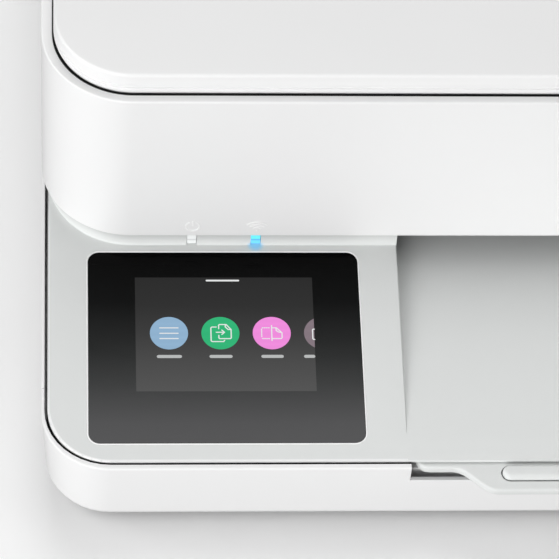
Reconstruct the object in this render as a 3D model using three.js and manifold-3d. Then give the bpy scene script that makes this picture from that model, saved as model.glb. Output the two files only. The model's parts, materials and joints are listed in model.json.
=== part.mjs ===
/**
 * Slim all-in-one inkjet printer: a flatbed scanner above a front-fed print mechanism.
 * Millimetres, +Z up, the front faces -Y, and the origin is on the table under the middle of the
 * printer. Every sub-part is a closed solid of its own, and pieces that move keep their own clearances.
 */
import * as THREE from 'three';
import { mergeVertices } from 'three/addons/utils/BufferGeometryUtils.js';
import Module from 'manifold-3d';

const wasm = await Module();
wasm.setup();

// ---------------------------------------------------------------- driving dimensions, in mm
// casing
const casingWidth = 456;
const casingDepth = 351.15; // drawer face to rear wall
const tongueReach = 7.15; // how far the output extender's tongue stands in front of the drawer
const scannerOverhang = 1.1; // scanner face in front of the control panel's upper edge
const baseHeight = 34.7; // table to the front edge of the control panel
const scannerHeight = 64.4;
const lidProud = 8.3; // lid top above the scanner's ledge
const footHeight = 3;
const floorThickness = 2;
const wall = 2.5;
const fit = 0.3; // clearance between pieces that touch or seat
const running = 0.4; // clearance round pieces that turn or slide
const weld = 1; // how far joined shapes run into each other, and cuts run past a face
const faceDraft = 1.3; // how much lower the walls of the base draw in
const underCut = 6; // how far the base's bottom edge tucks in
const tuckHeight = 5;
const chinHeight = 7.5; // top of the soft edge above the tuck
const chinInset = 1.1;
const rimRound = 0.4;
const baseCorner = 21;
const scannerCorner = 27.6;
const rearCorner = 20;
const footRadius = 9;
const footInset = 32;

// seam between the white base and the grey deck
const frontRim = 1.85;
const sideRim = 1;
const rimGap = 0.9;
const rimDepth = 6;
const rimDrop = 0.2;

// control panel
const panelLength = 77.6;
const panelTilt = THREE.MathUtils.degToRad(4.5);
const panelTop = 3; // thickness of the pod's top wall
const glassWidth = 83.8;
const glassLength = 68.6;
const glassCorner = 3.5;
const glassThickness = 1.5;
const glassFromSide = 14.3;
const glassFromEdge = 6.3;
const glassLip = 5; // width of the shelf that the glass is glued on
const screenWidth = 54.9;
const screenLength = 41.1;
const screenFromGlassSide = 14.5;
const screenFromGlassEdge = 18.2;
const screenFrame = 3; // metal frame round the screen
const displayDepth = 4;
const displayTabLength = 4;
const boardMargin = 8; // control board beyond the screen
const boardThickness = 1.6;
const lightWidth = 2.9;
const lightHeight = 4.4;
const powerLightX = 46.6; // from the left wall
const wirelessLightX = 66.5; // from the left wall
const podCover = 110.6; // width of each closed pod beside the output bay
const neckHeight = 6;
const neckSetback = 1.5; // scanner face to the neck's face
const neckRearInset = 6.6;

// output bay and extender
const deckLip = 1.1; // panel's front edge down to the deck's underside
const bayFloor = 1.8;
const extenderThickness = 2.8;
const extenderDepth = 118;
const extenderCorner = 4;
const slabSetback = 1; // drawer face to the extender's wide front
const notchDepth = 6.9;
const notchRim = 1.9; // drawer face to the rear of the thin rim under the notch
const notchRebate = 3;
const notchSideGap = 1.6;
const slabCornerRun = 11.1; // straight front between the extender's side and the tongue's shoulder
const tongueShoulder = 13;
const fingerWidth = 80;
const fingerLength = 20;
const stopInset = 1.8; // tongue's side to the stop's end
const stopDepth = 4.9;
const stopHeight = 1.9;
const stopSetback = 3.7;
const stopSink = 0.2;
const stopPocketFloor = 1.1;

// paper
const bayMargin = 9.4; // output bay's side to a full-width sheet, 216 mm at this casing width
const guideRoom = 12; // between a sheet's edge and the tray's wall
const trayWall = 2;
const trayLift = 1; // chassis floor to the tray
const trayFront = 7; // drawer face to the paper's front stop
const trayRearRoom = 43.15; // tray to rear wall, which leaves 301 mm of tray for a 297 mm sheet
const trayBelowNotch = 0.1;
const trayRearDrop = 9; // height of the low rear wall above the tray's floor
const trayRearLow = 40; // length of the low rear walls
const seamSetback = 30; // drawer face to the seam in the casing's side
const wingFloor = 2.5; // tray's underside to the webs that carry the drawer's ends
const wingThickness = 2.5;
const guideBelowTray = 3.1; // tray's top to the guides' top
const guideThickness = 3;
const guideLength = 90;
const guideSetback = 125; // paper's front stop to the width guides
const guideFlange = 30;
const guideSole = 1.2;
const guideSoleDepth = 16;
const guideGrip = 6;
const rackRadius = 6;
const rackWidth = 4;
const rackReach = 18; // how far each rack runs past the pinion
const lengthFence = 52;
const lengthFenceThickness = 2.2;
const lengthSole = 30;
const railWidth = 2;

// print mechanism
const mechanismAhead = 130; // tray's rear end to the exit roller
const feedRadius = 6.5;
const feedShaftRadius = 3.5;
const exitRadius = 4.5;
const exitShaftRadius = 2.2;
const exitLift = 0.2; // exit roller above the platen
const landHalf = 8; // half the width of each rubber land
const landInset = 18; // sheet's edge to the outer lands
const feedGearRadius = 16;
const idlerGearRadius = 16;
const pinionRadius = 6;
const gearWidth = 5;
const gearOffset = 55; // tray wall to the gear train, outside the carriage's travel
const gearTooth = 1.4;
const gearPin = 2;
const shaftEnd = 3; // how far roller shafts stand out past the gears
const motorShaftRadius = 1.2;
const motorGap = 4; // gears to the feed motor's mounting plate
const motorLength = 26;
const motorPlateReach = 17;
const motorLift = 3.4; // chassis floor to the feed motor
const pinchRadius = 2.4;
const pinchDepth = 4;
const starRadius = 1.8;
const starBarHalf = 4;
const platenGap = 3.5; // exit roller to the platen
const platenDepth = 38;
const platenHeight = 7;
const platenRib = 1.5;
const ribHalf = 1;
const nozzleGap = 4;
const cartridgeWidth = 34;
const cartridgeHeight = 31;
const cartridgeDepth = 50;
const cartridgeNose = 8;
const carriageWall = 2.5;
const carriageFloor = 1.4;
const carriageLid = 3; // carriage above the cartridges
const parkFromSide = 56; // casing's side to the centre of the parked carriage
const rodRadius = 4;
const rodBehindCarriage = 6;
const rodAboveNozzles = 15;
const pulleyRadius = 7;
const pulleyPin = 1.5;
const pulleyInset = 10; // parked carriage's side back to the idler pulley
const beltWidth = 5;
const beltThickness = 1.2;
const beltGap = 5; // guide rod to the belt
const beltDrop = 2; // guide rod's height to the belt's
const frameSheet = 1.5;
const frameGap = 3.5; // belt to the sheet-steel frame
const frameInset = 14; // casing's side to the frame's ends
const frameFlange = 10;
const motorRadius = 11;
const carriageMotorLength = 28;
const latchThickness = 2.2;
const latchHalf = 11;
const latchLength = 12.5;
const latchNose = 3; // latch in front of the carriage
const stationDepth = 42;
const stationMargin = 13;
const pickBehindFrame = -6; // the pick shaft lies just in front of the frame
const pickRadius = 8;
const pickArmReach = 34;
const pickShaftRadius = 3;
const pickShaftGap = 2; // deck to the pick shaft
const pickHalf = 16;
const pickHub = 3;
const pickArmEnd = 4;
const pickAxle = 1.8;
const turnRadius = 20;
const turnShell = 2;
const turnGap = 4;
const turnBehindTray = 4;

// scanner
const tubFloor = 2;
const tubLift = 6.5; // top of the print mechanism to the scanner's underside
const ledgeWidth = 2.5;
const ledgeRound = 0.7;
const lidGap = 1.2;
const lidSink = 1.6; // how far the lid's edge drops below the ledge
const lidSheet = 3;
const lidDraft = 0.7; // how far the lid's sides lean in
const lidRound = 1.1;
const bezelThickness = 2;
const windowSide = 78; // casing's side to the window
const windowFront = 33; // scanner face to the window's front edge
const windowRear = 21.15; // rear wall to the window's rear edge
const platenGlass = 2;
const glassMargin = 3; // scanner glass beyond the window
const padMargin = 2; // lid pad beyond the window
const scanBarWidth = 18;
const scanBarGap = 0.5; // glass to the scan bar
const scanBarClear = 11; // parked scan bar to the window
const scanRailRadius = 2;
const scanRailLift = 1.2;
const scanRailReach = 38; // rail's posts beyond the window
const scanPost = 4;
const standoffRadius = 4;
const standoffInset = 28;
const lidHingeInset = 78; // casing's side to each lid hinge
const lidHingeSetIn = 1; // lid's rear edge to the lid's pins
const lidHingeRise = 3; // lid's underside to its pins
const scannerHingeInset = 43; // casing's side to each of the scanner unit's hinges
const scannerHingeSetIn = 6; // rear wall to the scanner unit's pins
const scannerHingeRise = 3.2;
const hingePin = 1.6;
const hingePinReach = 4;
const knuckleRadius = 3;
const earKnuckle = 3.2;
const earHalf = 2;
const hingeWidth = 20;
const bracketHalf = 6;
const bracketDepth = 11;

// rear
const doorInset = 6; // output bay's side to the rear door's side
const doorSill = 6.5; // above the base's bottom
const doorRibPitch = 30;
const buttonRadius = 4.5;
const buttonFlange = 1.2;
const buttonHeight = 22;
const buttonDepth = 8.5;
const powerButtonInset = 78;
const wirelessButtonInset = 96;
const socketHeight = 19;
const socketDepth = 12;
const inletInset = 38;
const inletWidth = 22;
const inletHeight = 12;
const inletMouth = [17, 8];
const inletPinSpread = 4;
const inletPin = [2, 3];
const usbInset = 48;
const usbWidth = 12;
const usbHeight = 11;
const usbMouth = [8.5, 7.8];
const usbTongue = [5.5, 3];
const supplyInset = 24;
const supplyGap = 18; // tray wall and feed motor to the power supply
const boardInset = 13;
const boardGap = 14; // tray wall to the main board
const boardLift = 7;
const boardRearGap = 17;

// ---------------------------------------------------------------- derived positions
const half = casingWidth / 2;
const rearY = (casingDepth + tongueReach) / 2;
const drawerY = rearY - casingDepth;
const tongueY = drawerY - tongueReach;
const seamY = drawerY + seamSetback;
const deckFrontY = drawerY + frontRim + rimGap;
const deckHalf = half - sideRim - rimGap;
const deckRearY = rearY - sideRim - rimGap;
const rimZ = baseHeight - rimDrop;
const lapZ = rimZ - rimDepth;
const panelTopY = deckFrontY + panelLength * Math.cos(panelTilt);
const panelTopZ = baseHeight + panelLength * Math.sin(panelTilt);
const scannerY = panelTopY - scannerOverhang;
const scannerZ = panelTopZ + neckHeight;
const ledgeZ = scannerZ + scannerHeight;
const lidTopZ = ledgeZ + lidProud;
const chassisFloorZ = footHeight + floorThickness;
const bayHalf = half - podCover;
const extenderHalf = bayHalf - notchSideGap - fit - running;
const deckZ = baseHeight - deckLip;
const extenderTopZ = deckZ - fit;
const extenderZ = extenderTopZ - extenderThickness;
const deckTopZ = deckZ + bayFloor;
const notchZ = rimZ - notchDepth;
const neckFrontY = scannerY + neckSetback;
const neckRearY = rearY - neckRearInset;
const neckTopZ = scannerZ - fit;
const glassX0 = -half + glassFromSide;
const screenX0 = glassX0 + screenFromGlassSide;
const screenEdge = glassFromEdge + screenFromGlassEdge;
const sheetWidth = 2 * (bayHalf - bayMargin);
const trayHalf = sheetWidth / 2 + guideRoom;
const trayZ = chassisFloorZ + trayLift;
const trayFloorZ = trayZ + trayWall;
const trayTopZ = notchZ - trayBelowNotch;
const trayInnerY = drawerY + trayFront;
const trayRearY = rearY - trayRearRoom;
const exitY = trayRearY - mechanismAhead;
const platenTopZ = deckTopZ + fit + platenHeight;
const feedZ = platenTopZ + fit - feedRadius;
const gearPitch = feedGearRadius + idlerGearRadius;
const feedY = exitY + 2 * gearPitch;
const exitZ = platenTopZ + exitLift - exitRadius;
const platenY0 = exitY + exitRadius + platenGap;
const gearX1 = -(trayHalf + gearOffset);
const gearX0 = gearX1 - gearWidth;
const nozzleZ = platenTopZ + nozzleGap;
const carriageZ = nozzleZ - fit - carriageFloor;
const carriageTopZ = nozzleZ + cartridgeHeight + carriageLid;
const carriagePark = half - parkFromSide;
const carriageY0 = exitY + exitRadius + 5 * running;
const carriageY1 = carriageY0 + cartridgeDepth + carriageLid;
const carriageHalf = cartridgeWidth + carriageWall * 1.5 + 2 * running;
const rodY = carriageY1 + rodBehindCarriage;
const rodZ = nozzleZ + rodAboveNozzles;
const beltY = rodY + rodRadius + beltGap;
const beltZ = rodZ - beltDrop;
const pulleyX = carriagePark + carriageHalf - pulleyInset;
const frameY = beltY + beltWidth + frameGap;
const frameReach = half - frameInset;
const frameTopZ = carriageTopZ + weld;
const tubZ = frameTopZ + tubLift;
const pickY = frameY + pickBehindFrame;
const pickZ = deckTopZ + pickShaftRadius + pickShaftGap;
const pickRollerY = pickY + pickArmReach;
const pickRollerZ = trayFloorZ + running + pickRadius;
const turnY = trayRearY + turnBehindTray;
const turnZ = trayFloorZ + turnRadius + weld;
const lidFrontY = scannerY + ledgeWidth + lidGap;
const lidRearY = rearY - ledgeWidth - lidGap;
const lidHalf = half - ledgeWidth - lidGap;
const lidZ = ledgeZ - lidSink;
const lidHingeX = half - lidHingeInset;
const lidHingeY = lidRearY - lidHingeSetIn;
const lidHingeZ = lidZ + lidHingeRise;
const bezelZ = lidZ - running - bezelThickness;
const windowHalf = half - windowSide;
const windowY0 = scannerY + windowFront;
const windowY1 = rearY - windowRear;
const glassZ = bezelZ - fit - platenGlass;
const scanBarTop = glassZ - scanBarGap;
const scanRailZ = tubZ + tubFloor + scanRailLift + scanRailRadius;
const scannerHingeX = half - scannerHingeInset;
const scannerHingeY = rearY - scannerHingeSetIn;
const scannerHingeZ = scannerZ + scannerHingeRise;
const doorZ = footHeight + doorSill;
const doorHalf = bayHalf - doorInset;
const inletX = inletInset - half;
const usbX = half - usbInset;
const powerButtonX = powerButtonInset - half;
const wirelessButtonX = wirelessButtonInset - half;

// ---------------------------------------------------------------- shape helpers
const VERTEX_MERGE = 1e-4;
const X_AXIS = new THREE.Vector3(1, 0, 0);
const Y_AXIS = new THREE.Vector3(0, 1, 0);
const Z_AXIS = new THREE.Vector3(0, 0, 1);

/** A closed three.js geometry as a solid that can be joined and cut. */
function toSolid(geometry) {
  for (const name of Object.keys(geometry.attributes)) {
    if (name !== 'position') geometry.deleteAttribute(name);
  }
  const merged = mergeVertices(geometry, VERTEX_MERGE);
  const mesh = new wasm.Mesh({
    numProp: 3,
    vertProperties: Float32Array.from(merged.attributes.position.array),
    triVerts: Uint32Array.from(merged.index.array),
  });
  return new wasm.Manifold(mesh);
}

/** Joins a list of solids. */
function join(...solids) {
  return solids.reduce((whole, solid) => whole.add(solid));
}

/** A box between the given limits along X, Y and Z, optionally set in a turned place. */
function box([x0, x1], [y0, y1], [z0, z1], place = null) {
  const geometry = new THREE.BoxGeometry(x1 - x0, y1 - y0, z1 - z0);
  geometry.translate((x0 + x1) / 2, (y0 + y1) / 2, (z0 + z1) / 2);
  if (place) geometry.applyMatrix4(place);
  return toSolid(geometry);
}

/** A round bar along 'x', 'y' or 'z'; centre holds its other two coordinates in X, Y, Z order. */
function rod(axis, radius, [from, to], [u, v], sides = 18) {
  const geometry = new THREE.CylinderGeometry(radius, radius, to - from, sides);
  const middle = (from + to) / 2;
  if (axis === 'x') geometry.rotateZ(Math.PI / 2).translate(middle, u, v);
  if (axis === 'y') geometry.translate(u, middle, v);
  if (axis === 'z') geometry.rotateX(Math.PI / 2).translate(u, v, middle);
  return toSolid(geometry);
}

function shapeOf(points) {
  return new THREE.Shape(points.map(([u, v]) => new THREE.Vector2(u, v)));
}

/** An outline in X and Y, raised from z0 to z1, optionally set in a turned place. */
function plate(points, [z0, z1], place = null) {
  const geometry = new THREE.ExtrudeGeometry(shapeOf(points), { depth: z1 - z0, bevelEnabled: false });
  geometry.translate(0, 0, z0);
  if (place) geometry.applyMatrix4(place);
  return toSolid(geometry);
}

/** A side profile in Y and Z, drawn across the printer from x0 to x1. */
function acrossX(points, [x0, x1]) {
  const geometry = new THREE.ExtrudeGeometry(shapeOf(points), { depth: x1 - x0, bevelEnabled: false });
  geometry.applyMatrix4(new THREE.Matrix4().makeBasis(Y_AXIS, Z_AXIS, X_AXIS));
  geometry.translate(x0, 0, 0);
  return toSolid(geometry);
}

/** A front profile in X and Z, drawn from y0 back to y1. */
function acrossY(points, [y0, y1]) {
  const geometry = new THREE.ExtrudeGeometry(shapeOf(points), { depth: y1 - y0, bevelEnabled: false });
  geometry.applyMatrix4(new THREE.Matrix4().makeBasis(X_AXIS, Z_AXIS, Y_AXIS.clone().negate()));
  geometry.translate(0, y1, 0);
  return toSolid(geometry);
}

/** Points of an arc from one angle to another, in degrees. */
function arc([u, v], radius, from, to, steps = 6) {
  return Array.from({ length: steps + 1 }, (_, i) => {
    const angle = THREE.MathUtils.degToRad(from + ((to - from) * i) / steps);
    return [u + radius * Math.cos(angle), v + radius * Math.sin(angle)];
  });
}

/** A rectangle in plan with rounded corners, drawn anticlockwise from its front right corner. */
function roundedOutline([x0, x1], [y0, y1], frontRadius, rearRadius = frontRadius, steps = 6) {
  return [
    ...arc([x1 - frontRadius, y0 + frontRadius], frontRadius, -90, 0, steps),
    ...arc([x1 - rearRadius, y1 - rearRadius], rearRadius, 0, 90, steps),
    ...arc([x0 + rearRadius, y1 - rearRadius], rearRadius, 90, 180, steps),
    ...arc([x0 + frontRadius, y0 + frontRadius], frontRadius, 180, 270, steps),
  ];
}

/** A solid through level outlines that all have the same number of points, lowest first. */
function loft(rings) {
  const count = rings[0].points.length;
  const positions = rings.flatMap(({ points, z }) => points.flatMap(([x, y]) => [x, y, z]));
  const index = [];
  for (let level = 0; level + 1 < rings.length; level += 1) {
    for (let i = 0; i < count; i += 1) {
      const a = level * count + i;
      const b = level * count + ((i + 1) % count);
      index.push(a, b, b + count, a, b + count, a + count);
    }
  }
  const contour = rings[0].points.map(([x, y]) => new THREE.Vector2(x, y));
  const top = (rings.length - 1) * count;
  for (const [a, b, c] of THREE.ShapeUtils.triangulateShape(contour, [])) {
    index.push(a, c, b, top + a, top + b, top + c);
  }
  const geometry = new THREE.BufferGeometry();
  geometry.setAttribute('position', new THREE.Float32BufferAttribute(positions, 3));
  geometry.setIndex(index);
  return toSolid(geometry);
}

/** A toothed disc along X. Its teeth stay just inside the pitch circle, clear of its partner's. */
function gear(radius, [x0, x1], [y, z], bore = 0) {
  const teeth = Math.round(radius * 1.5);
  const tip = radius - fit / 2;
  const points = [];
  for (let i = 0; i < teeth; i += 1) {
    for (const [share, reach] of [[0, tip - gearTooth], [0.35, tip], [0.65, tip]]) {
      const angle = ((i + share) / teeth) * 2 * Math.PI;
      points.push([y + reach * Math.cos(angle), z + reach * Math.sin(angle)]);
    }
  }
  const disc = acrossX(points, [x0, x1]);
  return bore ? disc.subtract(rod('x', bore, [x0 - 1, x1 + 1], [y, z])) : disc;
}

/** Places what is drawn flat (x across, y up the slope, z out of the face) on the control panel. */
const onPanel = new THREE.Matrix4()
  .makeTranslation(0, deckFrontY, baseHeight)
  .multiply(new THREE.Matrix4().makeRotationX(panelTilt));

// ---------------------------------------------------------------- finishes
function finish(color, roughness, metalness = 0) {
  return new THREE.MeshStandardMaterial({ color, roughness, metalness });
}

const white = finish(0xf0f0ee, 0.42);
const grey = finish(0xd4d6d5, 0.45);
const palePlastic = finish(0xe2e3e2, 0.5);
const darkPlastic = finish(0x2a2c2e, 0.5);
const blackGlass = finish(0x0b0c0e, 0.12);
const display = finish(0x3a3c40, 0.3);
const circuit = finish(0x1f5b3a, 0.55);
const steel = finish(0xb4b8bb, 0.35, 0.9);
const rubber = finish(0x1c1c1d, 0.85);
const clearGlass = finish(0xcfe0e2, 0.05);
const foam = finish(0xf5f5f3, 0.9);
const gearPlastic = finish(0xe8e4d8, 0.5);
const cartridgeBody = finish(0x1b1c1f, 0.4);
const whiteLight = finish(0xf7fbff, 0.3);
const cyanLight = finish(0x6fdff2, 0.3);

// ---------------------------------------------------------------- scene graph
const printer = new THREE.Group();

function assembly() {
  const group = new THREE.Group();
  printer.add(group);
  return group;
}

function addPart(group, name, solid, material) {
  const { vertProperties, triVerts } = solid.getMesh();
  const geometry = new THREE.BufferGeometry();
  geometry.setAttribute('position', new THREE.BufferAttribute(vertProperties, 3));
  geometry.setIndex(new THREE.BufferAttribute(triVerts, 1));
  geometry.computeVertexNormals();
  const mesh = new THREE.Mesh(geometry, material);
  mesh.name = name;
  group.add(mesh);
}

// ---------------------------------------------------------------- casing outlines
/** The base's outline in plan, drawn in by inset. */
function baseOutline(inset) {
  return roundedOutline([inset - half, half - inset], [drawerY + inset, rearY - inset],
    baseCorner - inset, rearCorner - inset, 10);
}

/** The base's outer form, thinned by a wall: tucked in below, drafted, with a soft top edge. */
function baseForm(thinned) {
  return loft([
    { points: baseOutline(underCut + thinned), z: footHeight },
    { points: baseOutline(faceDraft + chinInset + thinned), z: footHeight + tuckHeight },
    { points: baseOutline(faceDraft + thinned), z: footHeight + chinHeight },
    { points: baseOutline(thinned), z: rimZ - rimRound },
    { points: baseOutline(rimRound + thinned), z: rimZ },
  ]);
}

/** The grey deck's outline in plan, grown by a margin. */
function deckOutline(grow) {
  const radius = baseCorner - sideRim - rimGap + grow;
  return roundedOutline([-deckHalf - grow, deckHalf + grow], [deckFrontY - grow, deckRearY + grow],
    radius, radius, 10);
}

/** The scanner housing's outline in plan, drawn in by inset. */
function scannerOutline(inset) {
  return roundedOutline([inset - half, half - inset], [scannerY + inset, rearY - inset],
    scannerCorner - inset, rearCorner - inset, 12);
}

/** The lid's outline in plan, drawn in by inset. */
function lidOutline(inset) {
  const drawnIn = ledgeWidth + lidGap;
  return roundedOutline([inset - lidHalf, lidHalf - inset], [lidFrontY + inset, lidRearY - inset],
    scannerCorner - drawnIn - inset, rearCorner - drawnIn - inset, 12);
}

/** Limits from a to b on one side of the middle, or mirrored to the other side, lowest first. */
function onSide(side, a, b) {
  return side < 0 ? [-b, -a] : [a, b];
}

const wholeWidth = [-half - weld, half + weld];
const wholeDepth = [tongueY - weld, rearY + weld];

// ---------------------------------------------------------------- base chassis and feet
const railHeight = lapZ - tuckHeight - weld;
const footPlaces = [-1, 1].flatMap((side) => [-1, 1].map((end) => ({
  name: `foot_${end < 0 ? 'front' : 'rear'}_${side < 0 ? 'left' : 'right'}`,
  x: side * (half - footInset),
  y: end < 0 ? drawerY + footInset : rearY - footInset,
})));

/** The casing's wall between its outer form and the cavity above the chassis floor. */
function casingWalls() {
  const above = box(wholeWidth, wholeDepth, [chassisFloorZ, rimZ + weld]);
  return baseForm(0).subtract(baseForm(wall).intersect(above))
    .subtract(box(wholeWidth, wholeDepth, [0, chassisFloorZ]));
}

function doorOpening(margin) {
  return box([-doorHalf - margin, doorHalf + margin], [rearY - 2 * wall - faceDraft, rearY + weld],
    [doorZ - margin, rimZ + weld]);
}

/** A rectangular socket through the rear wall, grown by a margin. */
function rearSocket(x, width, height, margin) {
  return box([x - width / 2 - margin, x + width / 2 + margin], [rearY - socketDepth - margin, rearY + weld],
    [socketHeight - height / 2 - margin, socketHeight + height / 2 + margin]);
}

function baseChassis() {
  const drawerRoom = box(wholeWidth, [drawerY - weld, seamY + fit], [chassisFloorZ, rimZ + weld]);
  const lap = plate(deckOutline(rimGap), [lapZ, rimZ + weld]);
  const floor = baseForm(0).intersect(box(wholeWidth, wholeDepth, [footHeight, chassisFloorZ]));
  let chassis = casingWalls().subtract(drawerRoom).subtract(lap).subtract(doorOpening(2 * fit)).add(floor);
  const railX = trayHalf + trayWall + running;
  for (const side of [-1, 1]) {
    chassis = chassis.add(box(onSide(side, railX, railX + railWidth), [seamY + fit, trayRearY + tuckHeight],
      [chassisFloorZ - weld, railHeight]));
    chassis = chassis.add(box(onSide(side, railX + weld, half - wall), [seamY + fit, seamY + fit + railWidth],
      [chassisFloorZ - weld, railHeight]));
  }
  for (const { x, y } of footPlaces) {
    chassis = chassis.subtract(rod('z', footRadius / 2 + fit, [0, footHeight + weld + fit], [x, y], 16));
  }
  chassis = chassis.subtract(rearSocket(inletX, inletWidth, inletHeight, fit));
  chassis = chassis.subtract(rearSocket(usbX, usbWidth, usbHeight, fit));
  for (const x of [powerButtonX, wirelessButtonX]) {
    const hole = [rearY - buttonDepth, rearY + weld];
    chassis = chassis.subtract(rod('y', buttonRadius + running, hole, [x, buttonHeight]));
  }
  return chassis;
}

function foot({ x, y }) {
  const pad = rod('z', footRadius, [0, footHeight - fit], [x, y], 20);
  return pad.add(rod('z', footRadius / 2, [footHeight - weld, footHeight + weld], [x, y], 16));
}

const frame = assembly();
addPart(frame, 'base_chassis', baseChassis(), white);
for (const place of footPlaces) addPart(frame, place.name, foot(place), rubber);

// ---------------------------------------------------------------- deck and control panel
const neckCorner = scannerCorner + deckHalf - half;
const shoulderY = neckFrontY + neckCorner; // the slope runs on beside the neck's rounded corners
const shoulderZ = panelTopZ + (shoulderY - panelTopY) * Math.tan(panelTilt);

/** Everything under the control panel's slope, lowered by drop. */
function underSlope(drop) {
  const beyond = casingDepth;
  return acrossX([
    [deckFrontY - beyond, -beyond],
    [rearY + beyond, -beyond],
    [rearY + beyond, shoulderZ - drop],
    [shoulderY, shoulderZ - drop],
    [deckFrontY - beyond, baseHeight - drop - beyond * Math.tan(panelTilt)],
  ], wholeWidth);
}

function neckOutline(inset) {
  return roundedOutline([inset - deckHalf, deckHalf - inset], [neckFrontY + inset, neckRearY - inset],
    neckCorner - inset, rearCorner - neckRearInset - inset, 12);
}

function lightSlot(fromWall, margin) {
  const x = fromWall - half;
  const low = panelTopZ + fit;
  return box([x - lightWidth / 2 - margin, x + lightWidth / 2 + margin],
    [neckFrontY - weld, neckFrontY + wall + weld], [low - margin, low + lightHeight + margin]);
}

/** Bracket moulded on the deck, with the pin that one side of the scanner unit turns on. */
function scannerHinge(side) {
  const x = side * scannerHingeX;
  const insideNeck = neckRearY - wall;
  const profile = [
    [insideNeck - bracketDepth, deckZ + fit],
    [insideNeck + wall / 2, deckZ + fit],
    [insideNeck + wall / 2, neckTopZ - weld],
    [neckRearY - weld, scannerZ],
    [scannerHingeY, scannerHingeZ - knuckleRadius],
    ...arc([scannerHingeY, scannerHingeZ], knuckleRadius, -90, 90, 8),
    [insideNeck - bracketDepth, scannerHingeZ + knuckleRadius],
  ];
  const pinHalf = bracketHalf + hingePinReach;
  return acrossX(profile, [x - bracketHalf, x + bracketHalf])
    .add(rod('x', hingePin, [x - pinHalf, x + pinHalf], [scannerHingeY, scannerHingeZ], 14));
}

function glassPlan(margin) {
  return roundedOutline([glassX0 - margin, glassX0 + glassWidth + margin],
    [glassFromEdge - margin, glassFromEdge + glassLength + margin], glassCorner + margin);
}

function glassRecess() {
  return plate(glassPlan(running), [-glassThickness - fit, panelTop], onPanel);
}

function displayWindow() {
  return box([glassX0 + glassLip, glassX0 + glassWidth - glassLip],
    [glassFromEdge + glassLip, glassFromEdge + glassLength - glassLip], [-2 * panelTop, weld], onPanel);
}

/** The output bay's space, the extender's room and the slots that rollers and gears turn in. */
function deckCuts() {
  const throughDeck = [deckZ - weld, deckTopZ + weld];
  const around = (y, radius) => [y - radius - running, y + radius + running];
  const gearReach = feedGearRadius + 2 * weld;
  return join(
    box([-bayHalf, bayHalf], [deckFrontY - weld, exitY - exitRadius - 1.5 * weld],
      [deckTopZ, scannerZ + weld]),
    box([2 * fit - bayHalf, bayHalf - 2 * fit],
      [deckFrontY - 2 * weld, deckFrontY + extenderDepth], [lapZ, deckZ]),
    box([weld - bayHalf, bayHalf - weld],
      [feedY - feedRadius - 2 * weld, turnY + turnRadius + turnShell + turnGap], throughDeck),
    box([gearX0 - running, gearX1 + running], [exitY - gearReach, feedY + gearReach], throughDeck),
    box([gearX0 - shaftEnd - weld, trayHalf + weld], around(feedY, feedRadius), throughDeck),
    box([landInset - bayHalf, bayHalf - landInset], around(exitY, exitRadius), throughDeck),
  );
}

function midCasing() {
  const skirtZ = lapZ + fit;
  const upper = [deckTopZ, scannerZ];
  const shell = plate(deckOutline(0), [skirtZ, scannerZ]).intersect(underSlope(0));
  const hollow = plate(deckOutline(-wall), [skirtZ - weld, scannerZ]).intersect(underSlope(panelTop));
  const behindPods = plate(neckOutline(weld), upper).add(box(wholeWidth, [shoulderY, rearY + weld], upper));
  let deck = plate(deckOutline(-weld), [deckZ, deckTopZ]).intersect(underSlope(0));
  for (const side of [-1, 1]) {
    deck = deck.subtract(box(onSide(side, bayHalf + weld, half + weld),
      [deckFrontY - weld, neckFrontY - 2 * weld], [0, scannerZ]));
  }
  const neck = plate(neckOutline(0), [deckZ, neckTopZ])
    .subtract(plate(neckOutline(wall), [deckZ - weld, neckTopZ + weld]));
  const podWalls = [-1, 1].map((side) => box(onSide(side, bayHalf, bayHalf + wall),
    [deckFrontY + weld, neckFrontY + weld], [deckZ, panelTopZ]).intersect(underSlope(0)));
  let casing = join(shell.subtract(hollow).subtract(behindPods), deck, neck, ...podWalls);
  casing = casing.subtract(deckCuts()).subtract(glassRecess()).subtract(displayWindow());
  for (const x of [powerLightX, wirelessLightX]) casing = casing.subtract(lightSlot(x, fit));
  return join(casing, scannerHinge(-1), scannerHinge(1));
}

function displayModule() {
  const top = -glassThickness - fit;
  const under = top - displayDepth;
  const tabEdge = screenEdge - screenFrame;
  const body = box([screenX0 - screenFrame, screenX0 + screenWidth + screenFrame],
    [tabEdge, screenEdge + screenLength + screenFrame], [under, top], onPanel);
  const tab = box([screenX0 + screenFrame, screenX0 + screenWidth / 2],
    [tabEdge - displayTabLength, tabEdge + weld], [under, under + weld], onPanel);
  return body.add(tab);
}

function controlBoard() {
  const top = -glassThickness - 2 * fit - displayDepth;
  const under = top - boardThickness;
  let board = box([screenX0 - boardMargin, screenX0 + screenWidth + boardMargin],
    [screenEdge - boardMargin, screenEdge + screenLength + boardMargin / 2], [under, top], onPanel);
  for (const [share, size] of [[0.2, 9], [0.5, 6], [0.8, 7]]) {
    const x = screenX0 + screenWidth * share;
    board = board.add(box([x - size / 2, x + size / 2], [screenEdge + size / 2, screenEdge + 1.5 * size],
      [under - weld, under + fit], onPanel));
  }
  return board;
}

/** A clear plug that fills its slot in the neck and turns down behind it. */
function lightPipe(fromWall) {
  const x = fromWall - half;
  const across = [x - lightWidth / 2, x + lightWidth / 2];
  const low = panelTopZ + fit;
  const rearFace = neckFrontY + wall + 2 * weld;
  return box(across, [neckFrontY, rearFace], [low, low + lightHeight])
    .add(box(across, [rearFace - 1.5 * weld, rearFace], [deckTopZ + fit, low + weld]));
}

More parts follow.
